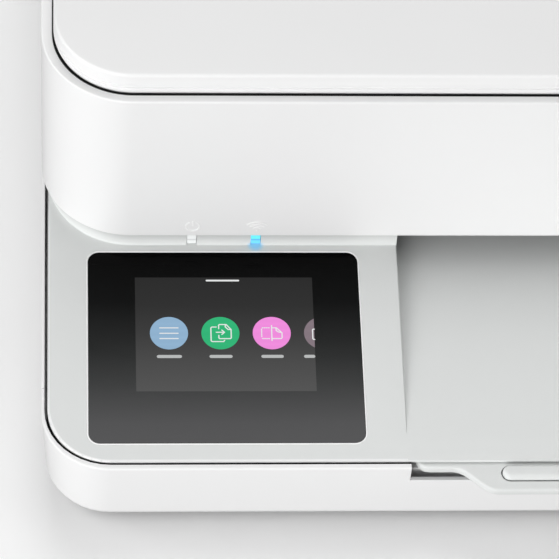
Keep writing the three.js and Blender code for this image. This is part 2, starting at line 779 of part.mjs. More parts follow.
addPart(frame, 'mid_casing', midCasing(), grey);
const controls = assembly();
addPart(controls, 'control_glass', plate(glassPlan(0), [-glassThickness, 0], onPanel), blackGlass);
addPart(controls, 'display_module', displayModule(), display);
addPart(controls, 'control_board', controlBoard(), circuit);
addPart(controls, 'power_light_pipe', lightPipe(powerLightX), whiteLight);
addPart(controls, 'wireless_light_pipe', lightPipe(wirelessLightX), cyanLight);

// ---------------------------------------------------------------- paper tray and its guides
const guideX = sheetWidth / 2 + fit; // inner face of the side guides, set for a full-width sheet
const guideY0 = trayInnerY + guideSetback;
const guideZ = trayFloorZ + running;
const guideTopZ = trayTopZ - guideBelowTray;
const rackY = guideY0 + guideLength / 2;

function paperTray() {
  const drawerEnd = box(wholeWidth, [drawerY - weld, seamY], [chassisFloorZ + 2 * fit, rimZ + weld]);
  const notchHalf = bayHalf - 2 * running;
  const front = casingWalls().intersect(drawerEnd)
    .subtract(plate(deckOutline(rimGap), [lapZ, rimZ + weld]))
    .subtract(box([-notchHalf, notchHalf], [drawerY - weld, drawerY + 2 * wall], [notchZ, rimZ + weld]))
    .subtract(box([-notchHalf, notchHalf], [drawerY + notchRim, drawerY + 2 * wall],
      [notchZ - notchRebate, notchZ + weld]));
  const outer = trayHalf + trayWall;
  const rearFace = trayRearY + trayWall;
  const body = box([-outer, outer], [trayInnerY - trayWall, rearFace], [trayZ, trayTopZ]);
  const inside = box([-trayHalf, trayHalf], [trayInnerY, trayRearY], [trayFloorZ, trayTopZ + weld]);
  const armReach = pickHalf + 2 * guideGrip;
  const armGap = box([-armReach, armReach], [trayRearY - weld, rearFace + weld],
    [trayFloorZ, trayTopZ + weld]);
  const lowRear = box([-outer - weld, outer + weld], [trayRearY - trayRearLow, rearFace + weld],
    [trayFloorZ + trayRearDrop, trayTopZ + weld]);
  let tray = front.add(body.subtract(inside).subtract(armGap).subtract(lowRear));
  for (const side of [-1, 1]) {
    const wing = box(onSide(side, outer - weld, half - wall - faceDraft), [drawerY + wall, seamY - 10 * weld],
      [trayZ + wingFloor, trayZ + wingFloor + wingThickness]);
    tray = tray.add(wing.intersect(baseForm(wall / 2)));
  }
  return tray;
}

/** A side guide: a fence along the sheet with a foot below it and a rack towards the middle. */
function widthGuide(side) {
  const face = side * guideX;
  const soleTop = guideZ + guideSole;
  const across = (a, b) => [face + side * a, face + side * b].sort((m, n) => m - n);
  const along = (from, to) => [rackY + side * from, rackY + side * to].sort((m, n) => m - n);
  const rackNear = rackRadius + fit;
  const fence = box(across(0, guideThickness), [guideY0, guideY0 + guideLength], [guideZ, guideTopZ]);
  const sole = box(across(-guideFlange, guideThickness), along(rackWidth, rackWidth + guideSoleDepth),
    [guideZ, soleTop]);
  const rackAcross = side < 0 ? [face + guideSole, rackReach] : [-rackReach, face - guideSole];
  const rack = box(rackAcross, along(rackNear, rackNear + rackWidth), [guideZ, soleTop]);
  const grip = box(across(guideThickness - weld, guideThickness + guideGrip),
    [rackY - 2 * guideGrip, rackY + 2 * guideGrip], [guideTopZ - rackWidth, guideTopZ]);
  const tunnel = box(across(-weld, guideThickness + weld),
    along(-rackNear - rackWidth - running, running - rackNear), [guideZ - weld, soleTop + running]);
  return join(fence, sole, rack, grip).subtract(tunnel);
}

function lengthGuide() {
  const rearFace = trayInnerY + fit + lengthFenceThickness;
  const fence = box([-lengthFence / 2, lengthFence / 2], [trayInnerY + fit, rearFace], [guideZ, guideTopZ]);
  const sole = box([-lengthSole / 2, lengthSole / 2], [rearFace - weld, rearFace + lengthSole],
    [guideZ, guideZ + guideSole]);
  const grip = box([-2 * guideGrip, 2 * guideGrip], [rearFace - weld, rearFace + guideGrip],
    [guideTopZ - guideThickness, guideTopZ]);
  return join(fence, sole, grip);
}

function guidePinion() {
  return rod('z', rackRadius, [guideZ, guideZ + guideSole], [0, rackY], 24)
    .add(rod('z', rackRadius / 2, [guideZ + weld, guideZ + 2 * guideSole + weld], [0, rackY], 16));
}

const paper = assembly();
addPart(paper, 'paper_tray', paperTray(), white);
addPart(paper, 'width_guide_left', widthGuide(-1), palePlastic);
addPart(paper, 'width_guide_right', widthGuide(1), palePlastic);
addPart(paper, 'guide_pinion', guidePinion(), gearPlastic);
addPart(paper, 'length_guide', lengthGuide(), palePlastic);

// ---------------------------------------------------------------- output extender and paper stop
const tongueHalf = extenderHalf - slabCornerRun - tongueShoulder;
const stopHalf = tongueHalf - stopInset;
const extenderY1 = drawerY + extenderDepth;
const slabFrontY = drawerY + slabSetback;
const stopY0 = tongueY + stopSetback;
const stopZ0 = extenderZ + stopPocketFloor + fit;
const stopZ1 = extenderTopZ + stopHeight - stopSink;
const stopRound = (stopZ1 - stopZ0) / 2;

/** The extender's plan: a wide slab whose front swells out into a tongue through two soft shoulders. */
function extenderPlan() {
  const steps = 8;
  const cornerX = extenderHalf - extenderCorner;
  const cornerY = slabFrontY + extenderCorner;
  const shoulder = (side) => Array.from({ length: steps + 1 }, (_, i) => {
    const along = i / steps;
    const rise = (1 - Math.cos(Math.PI * along)) / 2;
    return [side * (tongueHalf + tongueShoulder * (1 - along)), slabFrontY + (tongueY - slabFrontY) * rise];
  });
  return [
    ...arc([-cornerX, cornerY], extenderCorner, 180, 270, 4),
    ...shoulder(-1),
    ...shoulder(1).reverse(),
    ...arc([cornerX, cornerY], extenderCorner, 270, 360, 4),
    [extenderHalf, extenderY1],
    [-extenderHalf, extenderY1],
  ];
}

/** The pill-shaped plan of the flip-up stop, grown by a margin. */
function stopPlan(margin) {
  const radius = stopDepth / 2 + margin;
  const y = stopY0 + stopDepth / 2;
  const end = stopHalf - stopDepth / 2;
  return [...arc([end, y], radius, -90, 90, 8), ...arc([-end, y], radius, 90, 270, 8)];
}

function outputExtender() {
  const slab = plate(extenderPlan(), [extenderZ, extenderTopZ]);
  const cut = [extenderZ + stopPocketFloor, extenderTopZ + weld];
  const pocket = plate(stopPlan(running), cut);
  const hingeSide = box([-stopHalf - running, stopHalf + running],
    [stopY0 + stopDepth / 2, stopY0 + stopDepth + running], cut);
  const finger = box([-fingerWidth / 2, fingerWidth / 2],
    [extenderY1 - 2 * fingerLength, extenderY1 - fingerLength], [extenderZ - weld, extenderTopZ + weld]);
  return slab.subtract(pocket).subtract(hingeSide).subtract(finger);
}

/** The stop lies flat on the tongue and turns up about the round edge behind it. */
function paperStop() {
  const profile = [
    [stopY0, stopZ0],
    ...arc([stopY0 + stopDepth - stopRound, stopZ0 + stopRound], stopRound, -90, 90, 8),
    [stopY0, stopZ1],
  ];
  return acrossX(profile, [-stopHalf, stopHalf])
    .intersect(plate(stopPlan(0), [stopZ0 - weld, stopZ1 + weld]));
}

const outlet = assembly();
addPart(outlet, 'output_extender', outputExtender(), grey);
addPart(outlet, 'paper_stop', paperStop(), grey);

// ---------------------------------------------------------------- paper feed
const feed = assembly();
const landPitch = (sheetWidth - 2 * landInset) / 3;
const landPlaces = [-1.5, -0.5, 0.5, 1.5].map((step) => step * landPitch);
const gearFaces = [gearX0, gearX1];
const idlerY = (feedY + exitY) / 2;
const idlerZ = (feedZ + exitZ) / 2;
const pinionReach = feedGearRadius + pinionRadius;
const pinionZ = chassisFloorZ + motorLift + motorRadius;
const pinionY = feedY + Math.sqrt(pinionReach ** 2 - (feedZ - pinionZ) ** 2);

/** A shaft with four rubber lands, from the gear train to the far side of the paper path. */
function rollerShaft(y, z, radius, shaftRadius) {
  const shaft = rod('x', shaftRadius, [gearX0 - shaftEnd, trayHalf], [y, z]);
  return join(shaft, ...landPlaces.map((x) => rod('x', radius, [x - landHalf, x + landHalf], [y, z], 16)));
}

function feedMotor() {
  const near = gearX1 + motorGap;
  const can = rod('x', motorRadius, [near, near + motorLength], [pinionY, pinionZ], 24);
  const shaft = rod('x', motorShaftRadius, [gearX0 + weld, near + weld], [pinionY, pinionZ], 12);
  const mount = box([near, near + frameSheet], [pinionY - motorPlateReach, pinionY + motorPlateReach],
    [pinionZ - motorRadius, pinionZ + motorRadius]);
  return join(can, mount, shaft);
}

/** A bar behind the carriage's path with four small rollers held over the feed roller's lands. */
function pinchBar() {
  const z = feedZ + feedRadius + fit + pinchRadius;
  const span = bayHalf - 3 * ribHalf - pinchRadius;
  const bar = box([-span, span], [feedY + pinchRadius + ribHalf, feedY + pinchRadius + pinchDepth],
    [z - ribHalf, z + pinchRadius + ribHalf]);
  const rollers = landPlaces.flatMap((x) => [
    rod('x', pinchRadius, [x - landHalf + ribHalf, x + landHalf - ribHalf], [feedY, z], 14),
    box([x - 2 * ribHalf, x + 2 * ribHalf], [feedY - ribHalf, feedY + pinchRadius + 2 * ribHalf],
      [z - ribHalf, z + ribHalf]),
  ]);
  return join(bar, ...rollers);
}

/** A bar over the exit roller that carries the star wheels, on one leg at each end. */
function starWheelBar() {
  const z0 = exitZ + exitRadius + fit;
  const z1 = nozzleZ - fit;
  const under = z0 + ribHalf - fit;
  const span = trayHalf - trayWall;
  const legFront = exitY - exitRadius - starBarHalf;
  let bar = box([-span, span], [exitY - starBarHalf, exitY + starBarHalf], [under, z1]);
  for (const side of [-1, 1]) {
    const ends = onSide(side, span - 3 * ribHalf, span);
    bar = bar.add(box(ends, [legFront, legFront + 3 * ribHalf], [deckTopZ + fit, z1]));
    bar = bar.add(box(ends, [legFront, exitY], [under, z1]));
  }
  const wheels = landPlaces.map((x) => rod('x', starRadius, [x - ribHalf, x + ribHalf],
    [exitY, z0 + starRadius + fit], 10));
  return join(bar, ...wheels);
}

function platen() {
  const span = bayHalf - platenGap;
  const ribs = 9;
  let bed = box([-span, span], [platenY0, platenY0 + platenDepth], [deckTopZ + fit, platenTopZ - platenRib]);
  for (let i = 0; i < ribs; i += 1) {
    const x = (span - 2 * ribHalf) * ((2 * i) / (ribs - 1) - 1);
    bed = bed.add(box([x - ribHalf, x + ribHalf], [platenY0 + ribHalf, platenY0 + platenDepth - ribHalf],
      [platenTopZ - 2 * platenRib, platenTopZ]));
  }
  return bed;
}

/** Arm from the pick shaft down to the roller that lies on the stack. */
function pickupArm() {
  const slope = THREE.MathUtils.radToDeg(Math.atan2(pickRollerZ - pickZ, pickRollerY - pickY));
  const profile = [
    ...arc([pickY, pickZ], pickShaftRadius + pickHub, slope + 90, slope + 270),
    ...arc([pickRollerY, pickRollerZ], pickArmEnd, slope - 90, slope + 90),
  ];
  const inner = pickHalf - pickArmEnd - fit;
  const pivot = rod('x', pickShaftRadius + running, [-pickHalf - weld, pickHalf + weld], [pickY, pickZ]);
  const room = rod('x', pickRadius + weld, [-inner, inner], [pickRollerY, pickRollerZ], 24);
  const axle = rod('x', pickAxle, [-pickHalf, pickHalf], [pickRollerY, pickRollerZ], 12);
  return acrossX(profile, [-pickHalf, pickHalf]).subtract(pivot).subtract(room).add(axle);
}

function pickupRoller() {
  const reach = pickHalf - pickArmEnd - fit - running;
  return rod('x', pickRadius, [-reach, reach], [pickRollerY, pickRollerZ], 24)
    .subtract(rod('x', pickAxle + running, [-pickHalf, pickHalf], [pickRollerY, pickRollerZ], 12));
}

/** Curved guide that turns the sheet round at the back, with an inner guide between its end plates. */
function turnGuide() {
  const outer = turnRadius + turnShell;
  const inner = turnRadius - turnGap;
  const middle = [turnY, turnZ];
  const frontY = frameY + frameSheet + turnShell;
  const coreFrontY = frontY + 2 * turnGap;
  const shell = [
    [turnY, turnZ - outer],
    ...arc(middle, outer, -90, 90, 12),
    [frontY, turnZ + outer],
    [frontY, turnZ + turnRadius],
    ...arc(middle, turnRadius, -90, 90, 12).reverse(),
  ];
  const core = [
    ...arc(middle, inner, -60, 90, 10),
    [coreFrontY, turnZ + inner],
    [coreFrontY, turnZ + inner - turnShell],
    ...arc(middle, inner - turnShell, -60, 90, 10).reverse(),
  ];
  const cheek = [
    [turnY - weld, turnZ - turnRadius],
    ...arc(middle, turnRadius + turnShell / 4, -85, 90, 12),
    [coreFrontY, turnZ + turnRadius + turnShell / 4],
    [coreFrontY, turnZ + inner - turnShell],
    [turnY - weld, turnZ + inner - turnShell],
  ];
  const span = sheetWidth / 2 + weld;
  const cheeks = [-1, 1].map((side) => acrossX(cheek, onSide(side, span - fit, span + turnShell)));
  return join(acrossX(shell, [-span, span]), acrossX(core, [-span, span]), ...cheeks);
}

addPart(feed, 'feed_roller', rollerShaft(feedY, feedZ, feedRadius, feedShaftRadius), rubber);
addPart(feed, 'exit_roller', rollerShaft(exitY, exitZ, exitRadius, exitShaftRadius)
  .add(gear(feedGearRadius, gearFaces, [exitY, exitZ])), rubber);
addPart(feed, 'feed_gear', gear(feedGearRadius, gearFaces, [feedY, feedZ], feedShaftRadius + fit),
  gearPlastic);
addPart(feed, 'idler_gear', gear(idlerGearRadius, gearFaces, [idlerY, idlerZ])
  .add(rod('x', gearPin, [gearX0 - shaftEnd, gearX1 + weld], [idlerY, idlerZ])), gearPlastic);
addPart(feed, 'motor_pinion', gear(pinionRadius, gearFaces, [pinionY, pinionZ], motorShaftRadius + fit),
  gearPlastic);
addPart(feed, 'feed_motor', feedMotor(), steel);
addPart(feed, 'pinch_roller_bar', pinchBar(), darkPlastic);
addPart(feed, 'star_wheel_bar', starWheelBar(), darkPlastic);
addPart(feed, 'platen', platen(), darkPlastic);
addPart(feed, 'pickup_shaft', rod('x', pickShaftRadius, [-trayHalf, trayHalf], [pickY, pickZ], 16), steel);
addPart(feed, 'pickup_arm', pickupArm(), darkPlastic);
addPart(feed, 'pickup_roller', pickupRoller(), rubber);
addPart(feed, 'turn_guide', turnGuide(), darkPlastic);

// ---------------------------------------------------------------- carriage and its drive
const carriageAssembly = assembly();
const cartridgeX = (cartridgeWidth + carriageWall) / 2 + running;
const cartridgeZ1 = nozzleZ + cartridgeHeight;
const cartridgeY0 = carriageY0 + running;
const cartridgeY1 = cartridgeY0 + cartridgeDepth - carriageWall;
const latchY0 = carriageY0 - latchNose;
const latchZ = carriageTopZ + running;

/** Steel frame behind the carriage, with end plates that carry the guide rod and the idler's pin. */
function carriageFrame() {
  const reach = [-frameReach, frameReach];
  const sheet = [frameY, frameY + frameSheet];
  const middle = box(reach, sheet, [feedZ + feedRadius + frameFlange - 2 * weld, frameTopZ]);
  const flange = box(reach, [frameY, frameY + frameFlange], [frameTopZ - frameSheet, frameTopZ]);
  const legs = [-1, 1].map((side) => box(onSide(side, trayHalf + turnGap, frameReach), sheet,
    [deckTopZ + fit, frameTopZ - weld]));
  const ends = [-1, 1].map((side) => box(onSide(side, frameReach - frameSheet, frameReach),
    [exitY - starBarHalf, frameY + frameSheet], [deckTopZ + fit, frameTopZ - frameSheet]));
  return join(middle, flange, ...legs, ...ends)
    .subtract(rod('x', rodRadius + fit, [-half, half], [rodY, rodZ], 24))
    .subtract(rod('y', 2 * pulleyPin, [frameY - weld, frameY + frameSheet + weld], [-pulleyX, beltZ], 16))
    .add(rod('y', pulleyPin, [beltY, frameY + frameSheet / 2], [pulleyX, beltZ], 12));
}

function encoderStrip() {
  const stripY = beltY + beltWidth + frameGap / 2;
  const reach = frameReach - frameFlange / 2;
  return box([-reach, reach], [stripY, stripY + running],
    [frameTopZ - frameFlange, frameTopZ - frameFlange / 2]);
}

function driveBelt() {
  const loop = (radius) => [
    ...arc([pulleyX, beltZ], radius, -90, 90, 10),
    ...arc([-pulleyX, beltZ], radius, 90, 270, 10),
  ];
  const inner = pulleyRadius + fit;
  return acrossY(loop(inner + beltThickness), [beltY, beltY + beltWidth])
    .subtract(acrossY(loop(inner), [beltY - weld, beltY + beltWidth + weld]));
}

function beltPulley(x) {
  return rod('y', pulleyRadius, [beltY, beltY + beltWidth], [x, beltZ], 24)
    .subtract(rod('y', pulleyPin + running, [beltY - weld, beltY + beltWidth + weld], [x, beltZ], 12));
}

function carriageMotor() {
  const rearOfFrame = frameY + frameSheet + fit;
  return rod('y', motorRadius, [rearOfFrame, frameY + carriageMotorLength], [-pulleyX, beltZ], 24)
    .add(rod('y', pulleyPin, [beltY, rearOfFrame + weld], [-pulleyX, beltZ], 12));
}

/** The carriage: two open cartridge bays, a slider round the guide rod and clamps on the belt. */
function carriage() {
  const x = carriagePark;
  const webHalf = cartridgeWidth * 0.75;
  const clampHalf = rodBehindCarriage;
  const grip = beltThickness / 3;
  const block = box([x - carriageHalf, x + carriageHalf], [carriageY0, carriageY1],
    [carriageZ, carriageTopZ]);
  const web = box([x - webHalf, x + webHalf], [carriageY1 - weld, rodY + rodRadius + carriageWall],
    [rodZ - 2.5 * rodRadius, rodZ + 2.5 * rodRadius]);
  let body = block.add(web)
    .subtract(rod('x', rodRadius + running, [x - 2 * webHalf, x + 2 * webHalf], [rodY, rodZ], 24));
  for (const side of [-1, 1]) {
    const middle = x + side * cartridgeX;
    const reach = cartridgeWidth / 2 + running;
    body = body.subtract(box([middle - reach, middle + reach], [carriageY0 - weld, carriageY1 - carriageWall],
      [nozzleZ - fit, cartridgeZ1 + running]));
    body = body.subtract(box([middle - latchHalf, middle + latchHalf],
      [carriageY0 + cartridgeNose, carriageY0 + cartridgeDepth - 2 * cartridgeNose],
      [carriageZ - weld, nozzleZ]));
  }
  const run = beltZ + pulleyRadius + fit;
  const clamps = [
    [run - 2 * beltThickness, run - grip],
    [run + beltThickness + grip, run + 3 * beltThickness],
  ];
  const beltReach = [rodY + rodRadius + weld, beltY + beltWidth + weld];
  return join(body, ...clamps.map((level) => box([x - clampHalf, x + clampHalf], beltReach, level)));
}

/** Ink cartridge: a block with a stepped nose, finger ridges on its front and a sloping back. */
function cartridge(side) {
  const x = carriagePark + side * cartridgeX;
  const y0 = cartridgeY0;
  const y1 = cartridgeY1;
  const lip = 2 * weld;
  const profile = [
    [y0 + lip, nozzleZ], [y1, nozzleZ], [y1, cartridgeZ1 - cartridgeNose], [y1 - cartridgeNose, cartridgeZ1],
    [y0 + weld, cartridgeZ1], [y0, cartridgeZ1 - lip], [y0, nozzleZ + 3 * lip],
  ];
  const ridges = Array.from({ length: 4 }, (_, i) => {
    const z = cartridgeZ1 - 2 * cartridgeNose + lip + i * 3 * weld;
    return box([x - cartridgeWidth / 4, x + cartridgeWidth / 4], [y0 - weld, y0 + 2 * running],
      [z, z + 1.5 * weld]);
  });
  return acrossX(profile, [x - cartridgeWidth / 2, x + cartridgeWidth / 2]).subtract(join(...ridges));
}

/** A finger latch over each cartridge, which turns up about its round rear edge. */
function cartridgeLatch(side) {
  const x = carriagePark + side * cartridgeX;
  const round = latchThickness / 2;
  return acrossX([
    [latchY0, latchZ],
    ...arc([latchY0 + latchLength - round, latchZ + round], round, -90, 90, 6),
    [latchY0 + latchLength / 3, latchZ + latchThickness],
    [latchY0, latchZ + round],
  ], [x - latchHalf, x + latchHalf]);
}

function serviceStation() {
  const reach = cartridgeX + stationMargin;
  const top = carriageZ - running;
  const frontY = carriageY0 + weld;
  const tub = box([carriagePark - reach, carriagePark + reach], [frontY, frontY + stationDepth],
    [deckTopZ + fit, top - carriageWall]);
  const caps = [-1, 1].map((side) => {
    const x = carriagePark + side * cartridgeX;
    return box([x - latchHalf + weld, x + latchHalf - weld],
      [frontY + cartridgeNose, frontY + stationDepth - cartridgeNose], [top - carriageWall - weld, top]);
  });
  return join(tub, ...caps);
}

addPart(carriageAssembly, 'carriage_frame', carriageFrame(), steel);
addPart(carriageAssembly, 'guide_rod',
  rod('x', rodRadius, [-frameReach - gearPin, frameReach + gearPin], [rodY, rodZ], 20), steel);
addPart(carriageAssembly, 'encoder_strip', encoderStrip(), clearGlass);
addPart(carriageAssembly, 'drive_belt', driveBelt(), rubber);
addPart(carriageAssembly, 'motor_pulley', beltPulley(-pulleyX), steel);
addPart(carriageAssembly, 'idler_pulley', beltPulley(pulleyX), gearPlastic);
addPart(carriageAssembly, 'carriage_motor', carriageMotor(), steel);
addPart(carriageAssembly, 'carriage', carriage(), darkPlastic);
addPart(carriageAssembly, 'black_cartridge', cartridge(1), cartridgeBody);
addPart(carriageAssembly, 'colour_cartridge', cartridge(-1), cartridgeBody);
addPart(carriageAssembly, 'black_latch', cartridgeLatch(1), palePlastic);
addPart(carriageAssembly, 'colour_latch', cartridgeLatch(-1), palePlastic);
addPart(carriageAssembly, 'service_station', serviceStation(), rubber);

// ---------------------------------------------------------------- electronics and rear parts
const rear = assembly();

function powerSupply() {
  const across = [supplyInset - half, -trayHalf - supplyGap];
  const depth = [pinionY + motorPlateReach + 3 * weld, rearY - boardRearGap];
  const top = lapZ - 2 * weld;
  const slots = Array.from({ length: 6 }, (_, i) => {
    const y = depth[0] + (i + 1) * frameFlange * 0.75;
    return box([across[0] + frameFlange, across[1] - frameFlange], [y, y + wall], [top - weld, top + weld]);
  });
  return box(across, depth, [chassisFloorZ + weld, top]).subtract(join(...slots));
}

/** The main board with its larger parts, each at a share of the board's width and depth. */
function mainBoard() {
  const z = chassisFloorZ + boardLift;
  const across = [trayHalf + boardGap, half - boardInset];
  const depth = [exitY + exitRadius + platenDepth, rearY - boardRearGap];
  const board = box(across, depth, [z, z + boardThickness]);
  const chips = [[0.3, 0.4, 16, 2], [0.7, 0.5, 12, 1.5], [0.35, 0.75, 10, 8], [0.75, 0.85, 14, 6]];
  return join(board, ...chips.map(([shareX, shareY, size, tall]) => {
    const x = across[0] + (across[1] - across[0]) * shareX;
    const y = depth[0] + (depth[1] - depth[0]) * shareY;
    return box([x - size / 2, x + size / 2], [y - size / 2, y + size / 2],
      [z + boardThickness - fit, z + boardThickness + tall]);
  }));
}

/** A socket block, open behind. Each contact is its place from the middle and its width and height. */
function rearConnector(x, width, height, [mouthWidth, mouthHeight], contacts) {
  const z = socketHeight;
  const face = rearY - faceDraft;
  const inner = face - socketDepth + wall;
  const body = box([x - width / 2, x + width / 2], [face - socketDepth, face],
    [z - height / 2, z + height / 2])
    .subtract(box([x - mouthWidth / 2, x + mouthWidth / 2], [inner, face + weld],
      [z - mouthHeight / 2, z + mouthHeight / 2]));
  return join(body, ...contacts.map(([offset, [pinWidth, pinHeight]]) => box(
    [x + offset - pinWidth / 2, x + offset + pinWidth / 2], [inner - weld, face - wall],
    [z - pinHeight / 2, z + pinHeight / 2])));
}

function rearButton(x) {
  const innerEnd = rearY - buttonDepth - running;
  return rod('y', buttonRadius, [innerEnd, rearY - fit / 2], [x, buttonHeight], 24)
    .add(rod('y', buttonRadius + buttonFlange, [innerEnd, innerEnd + 2 * weld], [x, buttonHeight], 24));
}

/** The rear door is the middle of the back wall, with guide ribs inside it. */
function rearDoor() {
  const lap = plate(deckOutline(rimGap), [lapZ, rimZ + weld]);
  const door = casingWalls().intersect(doorOpening(0)).subtract(lap);
  const ribs = Array.from({ length: 7 }, (_, i) => {
    const x = (i - 3) * doorRibPitch;
    return box([x - ribHalf, x + ribHalf], [rearY - bracketDepth, rearY - faceDraft - wall / 2],
      [doorZ + wall, lapZ - 2 * weld]);
  });
  return join(door, ...ribs);
}

addPart(rear, 'power_supply', powerSupply(), darkPlastic);
addPart(rear, 'main_board', mainBoard(), circuit);
addPart(rear, 'power_inlet', rearConnector(inletX, inletWidth, inletHeight, inletMouth,
  [[-inletPinSpread, inletPin], [inletPinSpread, inletPin]]), darkPlastic);
addPart(rear, 'usb_port', rearConnector(usbX, usbWidth, usbHeight, usbMouth, [[0, usbTongue]]), steel);
addPart(rear, 'power_button', rearButton(powerButtonX), palePlastic);
addPart(rear, 'wireless_button', rearButton(wirelessButtonX), palePlastic);
addPart(rear, 'rear_access_door', rearDoor(), white);

// ---------------------------------------------------------------- scanner unit
const scanner = assembly();
const scanCentreY = (windowY0 + windowY1) / 2;
const scanHomeX = -windowHalf - scanBarClear - scanBarWidth / 2;
const tubFloorTop = tubZ + tubFloor;
const railReach = windowHalf + scanRailReach;

/** Posts under the bezel's corners and at both ends of the scan bar's rail. */
function housingPosts() {
  const standoffs = [-1, 1].flatMap((side) => [windowY0, windowY1].map((y) => rod('z', standoffRadius,
    [tubFloorTop - weld, bezelZ - fit], [side * (half - standoffInset), y - 2 * standoffRadius], 12)));
  const railPosts = [-1, 1].map((side) => box(onSide(side, railReach - scanPost, railReach),
    [scanCentreY - scanPost, scanCentreY + scanPost], [tubFloorTop - weld, scanRailZ + scanPost]));
  return join(...standoffs, ...railPosts)
    .subtract(rod('x', scanRailRadius + fit, [-half, half], [scanCentreY, scanRailZ], 16));
}

/** Ears under the housing on both sides of each bracket, with the holes for its pin. */
function housingEars() {
  const pivot = [scannerHingeY, scannerHingeZ];
  const offset = bracketHalf + 2 * fit + earHalf;
  const places = [-1, 1].flatMap((side) => [-1, 1].map((ear) => side * scannerHingeX + ear * offset));
  return join(...places.map((x) => {
    const across = [x - earHalf, x + earHalf];
    return box(across, [scannerHingeY - earKnuckle, rearY - wall / 2], [scannerHingeZ, tubZ + weld / 2])
      .add(rod('x', earKnuckle, across, pivot, 18))
      .subtract(rod('x', hingePin + fit, [x - earHalf - weld, x + earHalf + weld], pivot, 14));
  }));
}

function scannerHousing() {
  const shell = loft([
    { points: scannerOutline(ledgeRound / 2), z: scannerZ },
    { points: scannerOutline(0), z: scannerZ + ledgeRound },
    { points: scannerOutline(0), z: ledgeZ - ledgeRound },
    { points: scannerOutline(0.3 * ledgeRound), z: ledgeZ - 0.3 * ledgeRound },
    { points: scannerOutline(ledgeRound), z: ledgeZ },
  ]);
  return shell
    .subtract(plate(scannerOutline(ledgeWidth), [scannerZ - weld, tubZ]))
    .subtract(plate(scannerOutline(ledgeWidth), [tubFloorTop, ledgeZ + weld]))
    .add(housingPosts())
    .add(housingEars());
}

function hingeNotch(x, margin, [z0, z1]) {
  const reach = hingeWidth / 2 + margin;
  return box([x - reach, x + reach], [lidHingeY - knuckleRadius - margin, rearY], [z0, z1]);
}

function scannerBezel() {
  const cut = [bezelZ - weld, bezelZ + bezelThickness + weld];
  return plate(scannerOutline(ledgeWidth + fit), [bezelZ, bezelZ + bezelThickness])
    .subtract(box([-windowHalf, windowHalf], [windowY0, windowY1], cut))
    .subtract(hingeNotch(-lidHingeX, fit, cut))
    .subtract(hingeNotch(lidHingeX, fit, cut));
}

/** Tall post in the scanner housing with the pin that one side of the lid turns on. */
function lidHinge(side) {
  const x = side * lidHingeX;
  const across = [x - hingeWidth / 2, x + hingeWidth / 2];
  const pivot = [lidHingeY, lidHingeZ];
  const post = box(across, [lidHingeY - knuckleRadius, lidHingeY], [tubFloorTop + fit, lidHingeZ]);
  const knuckle = rod('x', knuckleRadius, across, pivot, 16)
    .intersect(box(wholeWidth, [lidHingeY - 2 * knuckleRadius, lidRearY], [tubZ, lidTopZ]));
  const pin = rod('x', hingePin, [across[0] - hingePinReach, across[1] + hingePinReach], pivot, 14);
  return join(post, knuckle, pin);
}

/** The scan bar spans the window on a slider that rides on the rail below it. */
function scanBar() {
  const across = [scanHomeX - scanBarWidth / 2, scanHomeX + scanBarWidth / 2];
  const underBar = scanRailZ + scanRailRadius + fit;
  return box(across, [windowY0 - padMargin, windowY1 + padMargin], [underBar, scanBarTop])
    .add(box(across, [scanCentreY - scanBarWidth / 2, scanCentreY + scanBarWidth / 2],
      [scanRailZ - scanRailRadius, scanBarTop - weld]))
    .subtract(rod('x', scanRailRadius + running, [across[0] - weld, across[1] + weld],
      [scanCentreY, scanRailZ], 16));
}

function scannerGlass() {
  return box([-windowHalf - glassMargin, windowHalf + glassMargin],
    [windowY0 - glassMargin, windowY1 + glassMargin], [glassZ, glassZ + platenGlass]);
}

addPart(scanner, 'scanner_housing', scannerHousing(), white);
addPart(scanner, 'scanner_bezel', scannerBezel(), palePlastic);
addPart(scanner, 'scanner_glass', scannerGlass(), clearGlass);
addPart(scanner, 'scan_rail', rod('x', scanRailRadius, [fit - railReach, railReach - fit],
  [scanCentreY, scanRailZ], 14), steel);
addPart(scanner, 'scan_bar', scanBar(), darkPlastic);
addPart(scanner, 'lid_hinge_left', lidHinge(-1), palePlastic);
addPart(scanner, 'lid_hinge_right', lidHinge(1), palePlastic);

// ---------------------------------------------------------------- lid
const lid = assembly();

/** The lid's shell, with a rounded rim and two bosses that turn on the hinge pins. */
function scannerLid() {
  const underTop = lidTopZ - lidSheet;
  let shell = loft([
    { points: lidOutline(fit), z: lidZ },
    { points: lidOutline(0), z: lidZ + 2 * fit },
    { points: lidOutline(lidDraft), z: lidTopZ - lidRound },
    { points: lidOutline(lidDraft + 0.3 * lidRound), z: lidTopZ - 0.3 * lidRound },
    { points: lidOutline(lidDraft + lidRound), z: lidTopZ },
  ]).subtract(plate(lidOutline(wall), [lidZ - weld, underTop]));
  for (const x of [-lidHingeX, lidHingeX]) {
    const reach = hingeWidth / 2 + hingePinReach;
    const boss = box([x - reach - knuckleRadius / 2, x + reach + knuckleRadius / 2],
      [lidHingeY - knuckleRadius - weld, lidRearY - weld], [lidZ + fit, underTop + fit]);
    shell = shell.add(boss)
      .subtract(rod('x', hingePin + fit, [x - reach - fit, x + reach + fit], [lidHingeY, lidHingeZ], 14))
      .subtract(hingeNotch(x, 2 * fit, [lidZ - weld, underTop + fit / 2]));
  }
  return shell;
}

const lidPad = plate(roundedOutline([-windowHalf - padMargin, windowHalf + padMargin],
  [windowY0 - padMargin, windowY1 + padMargin], 2 * padMargin),
[bezelZ + bezelThickness + fit, lidTopZ - lidSheet - fit]);
addPart(lid, 'scanner_lid', scannerLid(), white);
addPart(lid, 'lid_pad', lidPad, foam);

export default printer;
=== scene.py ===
import json
import math

import bmesh
import bpy
from mathutils import Matrix, Vector


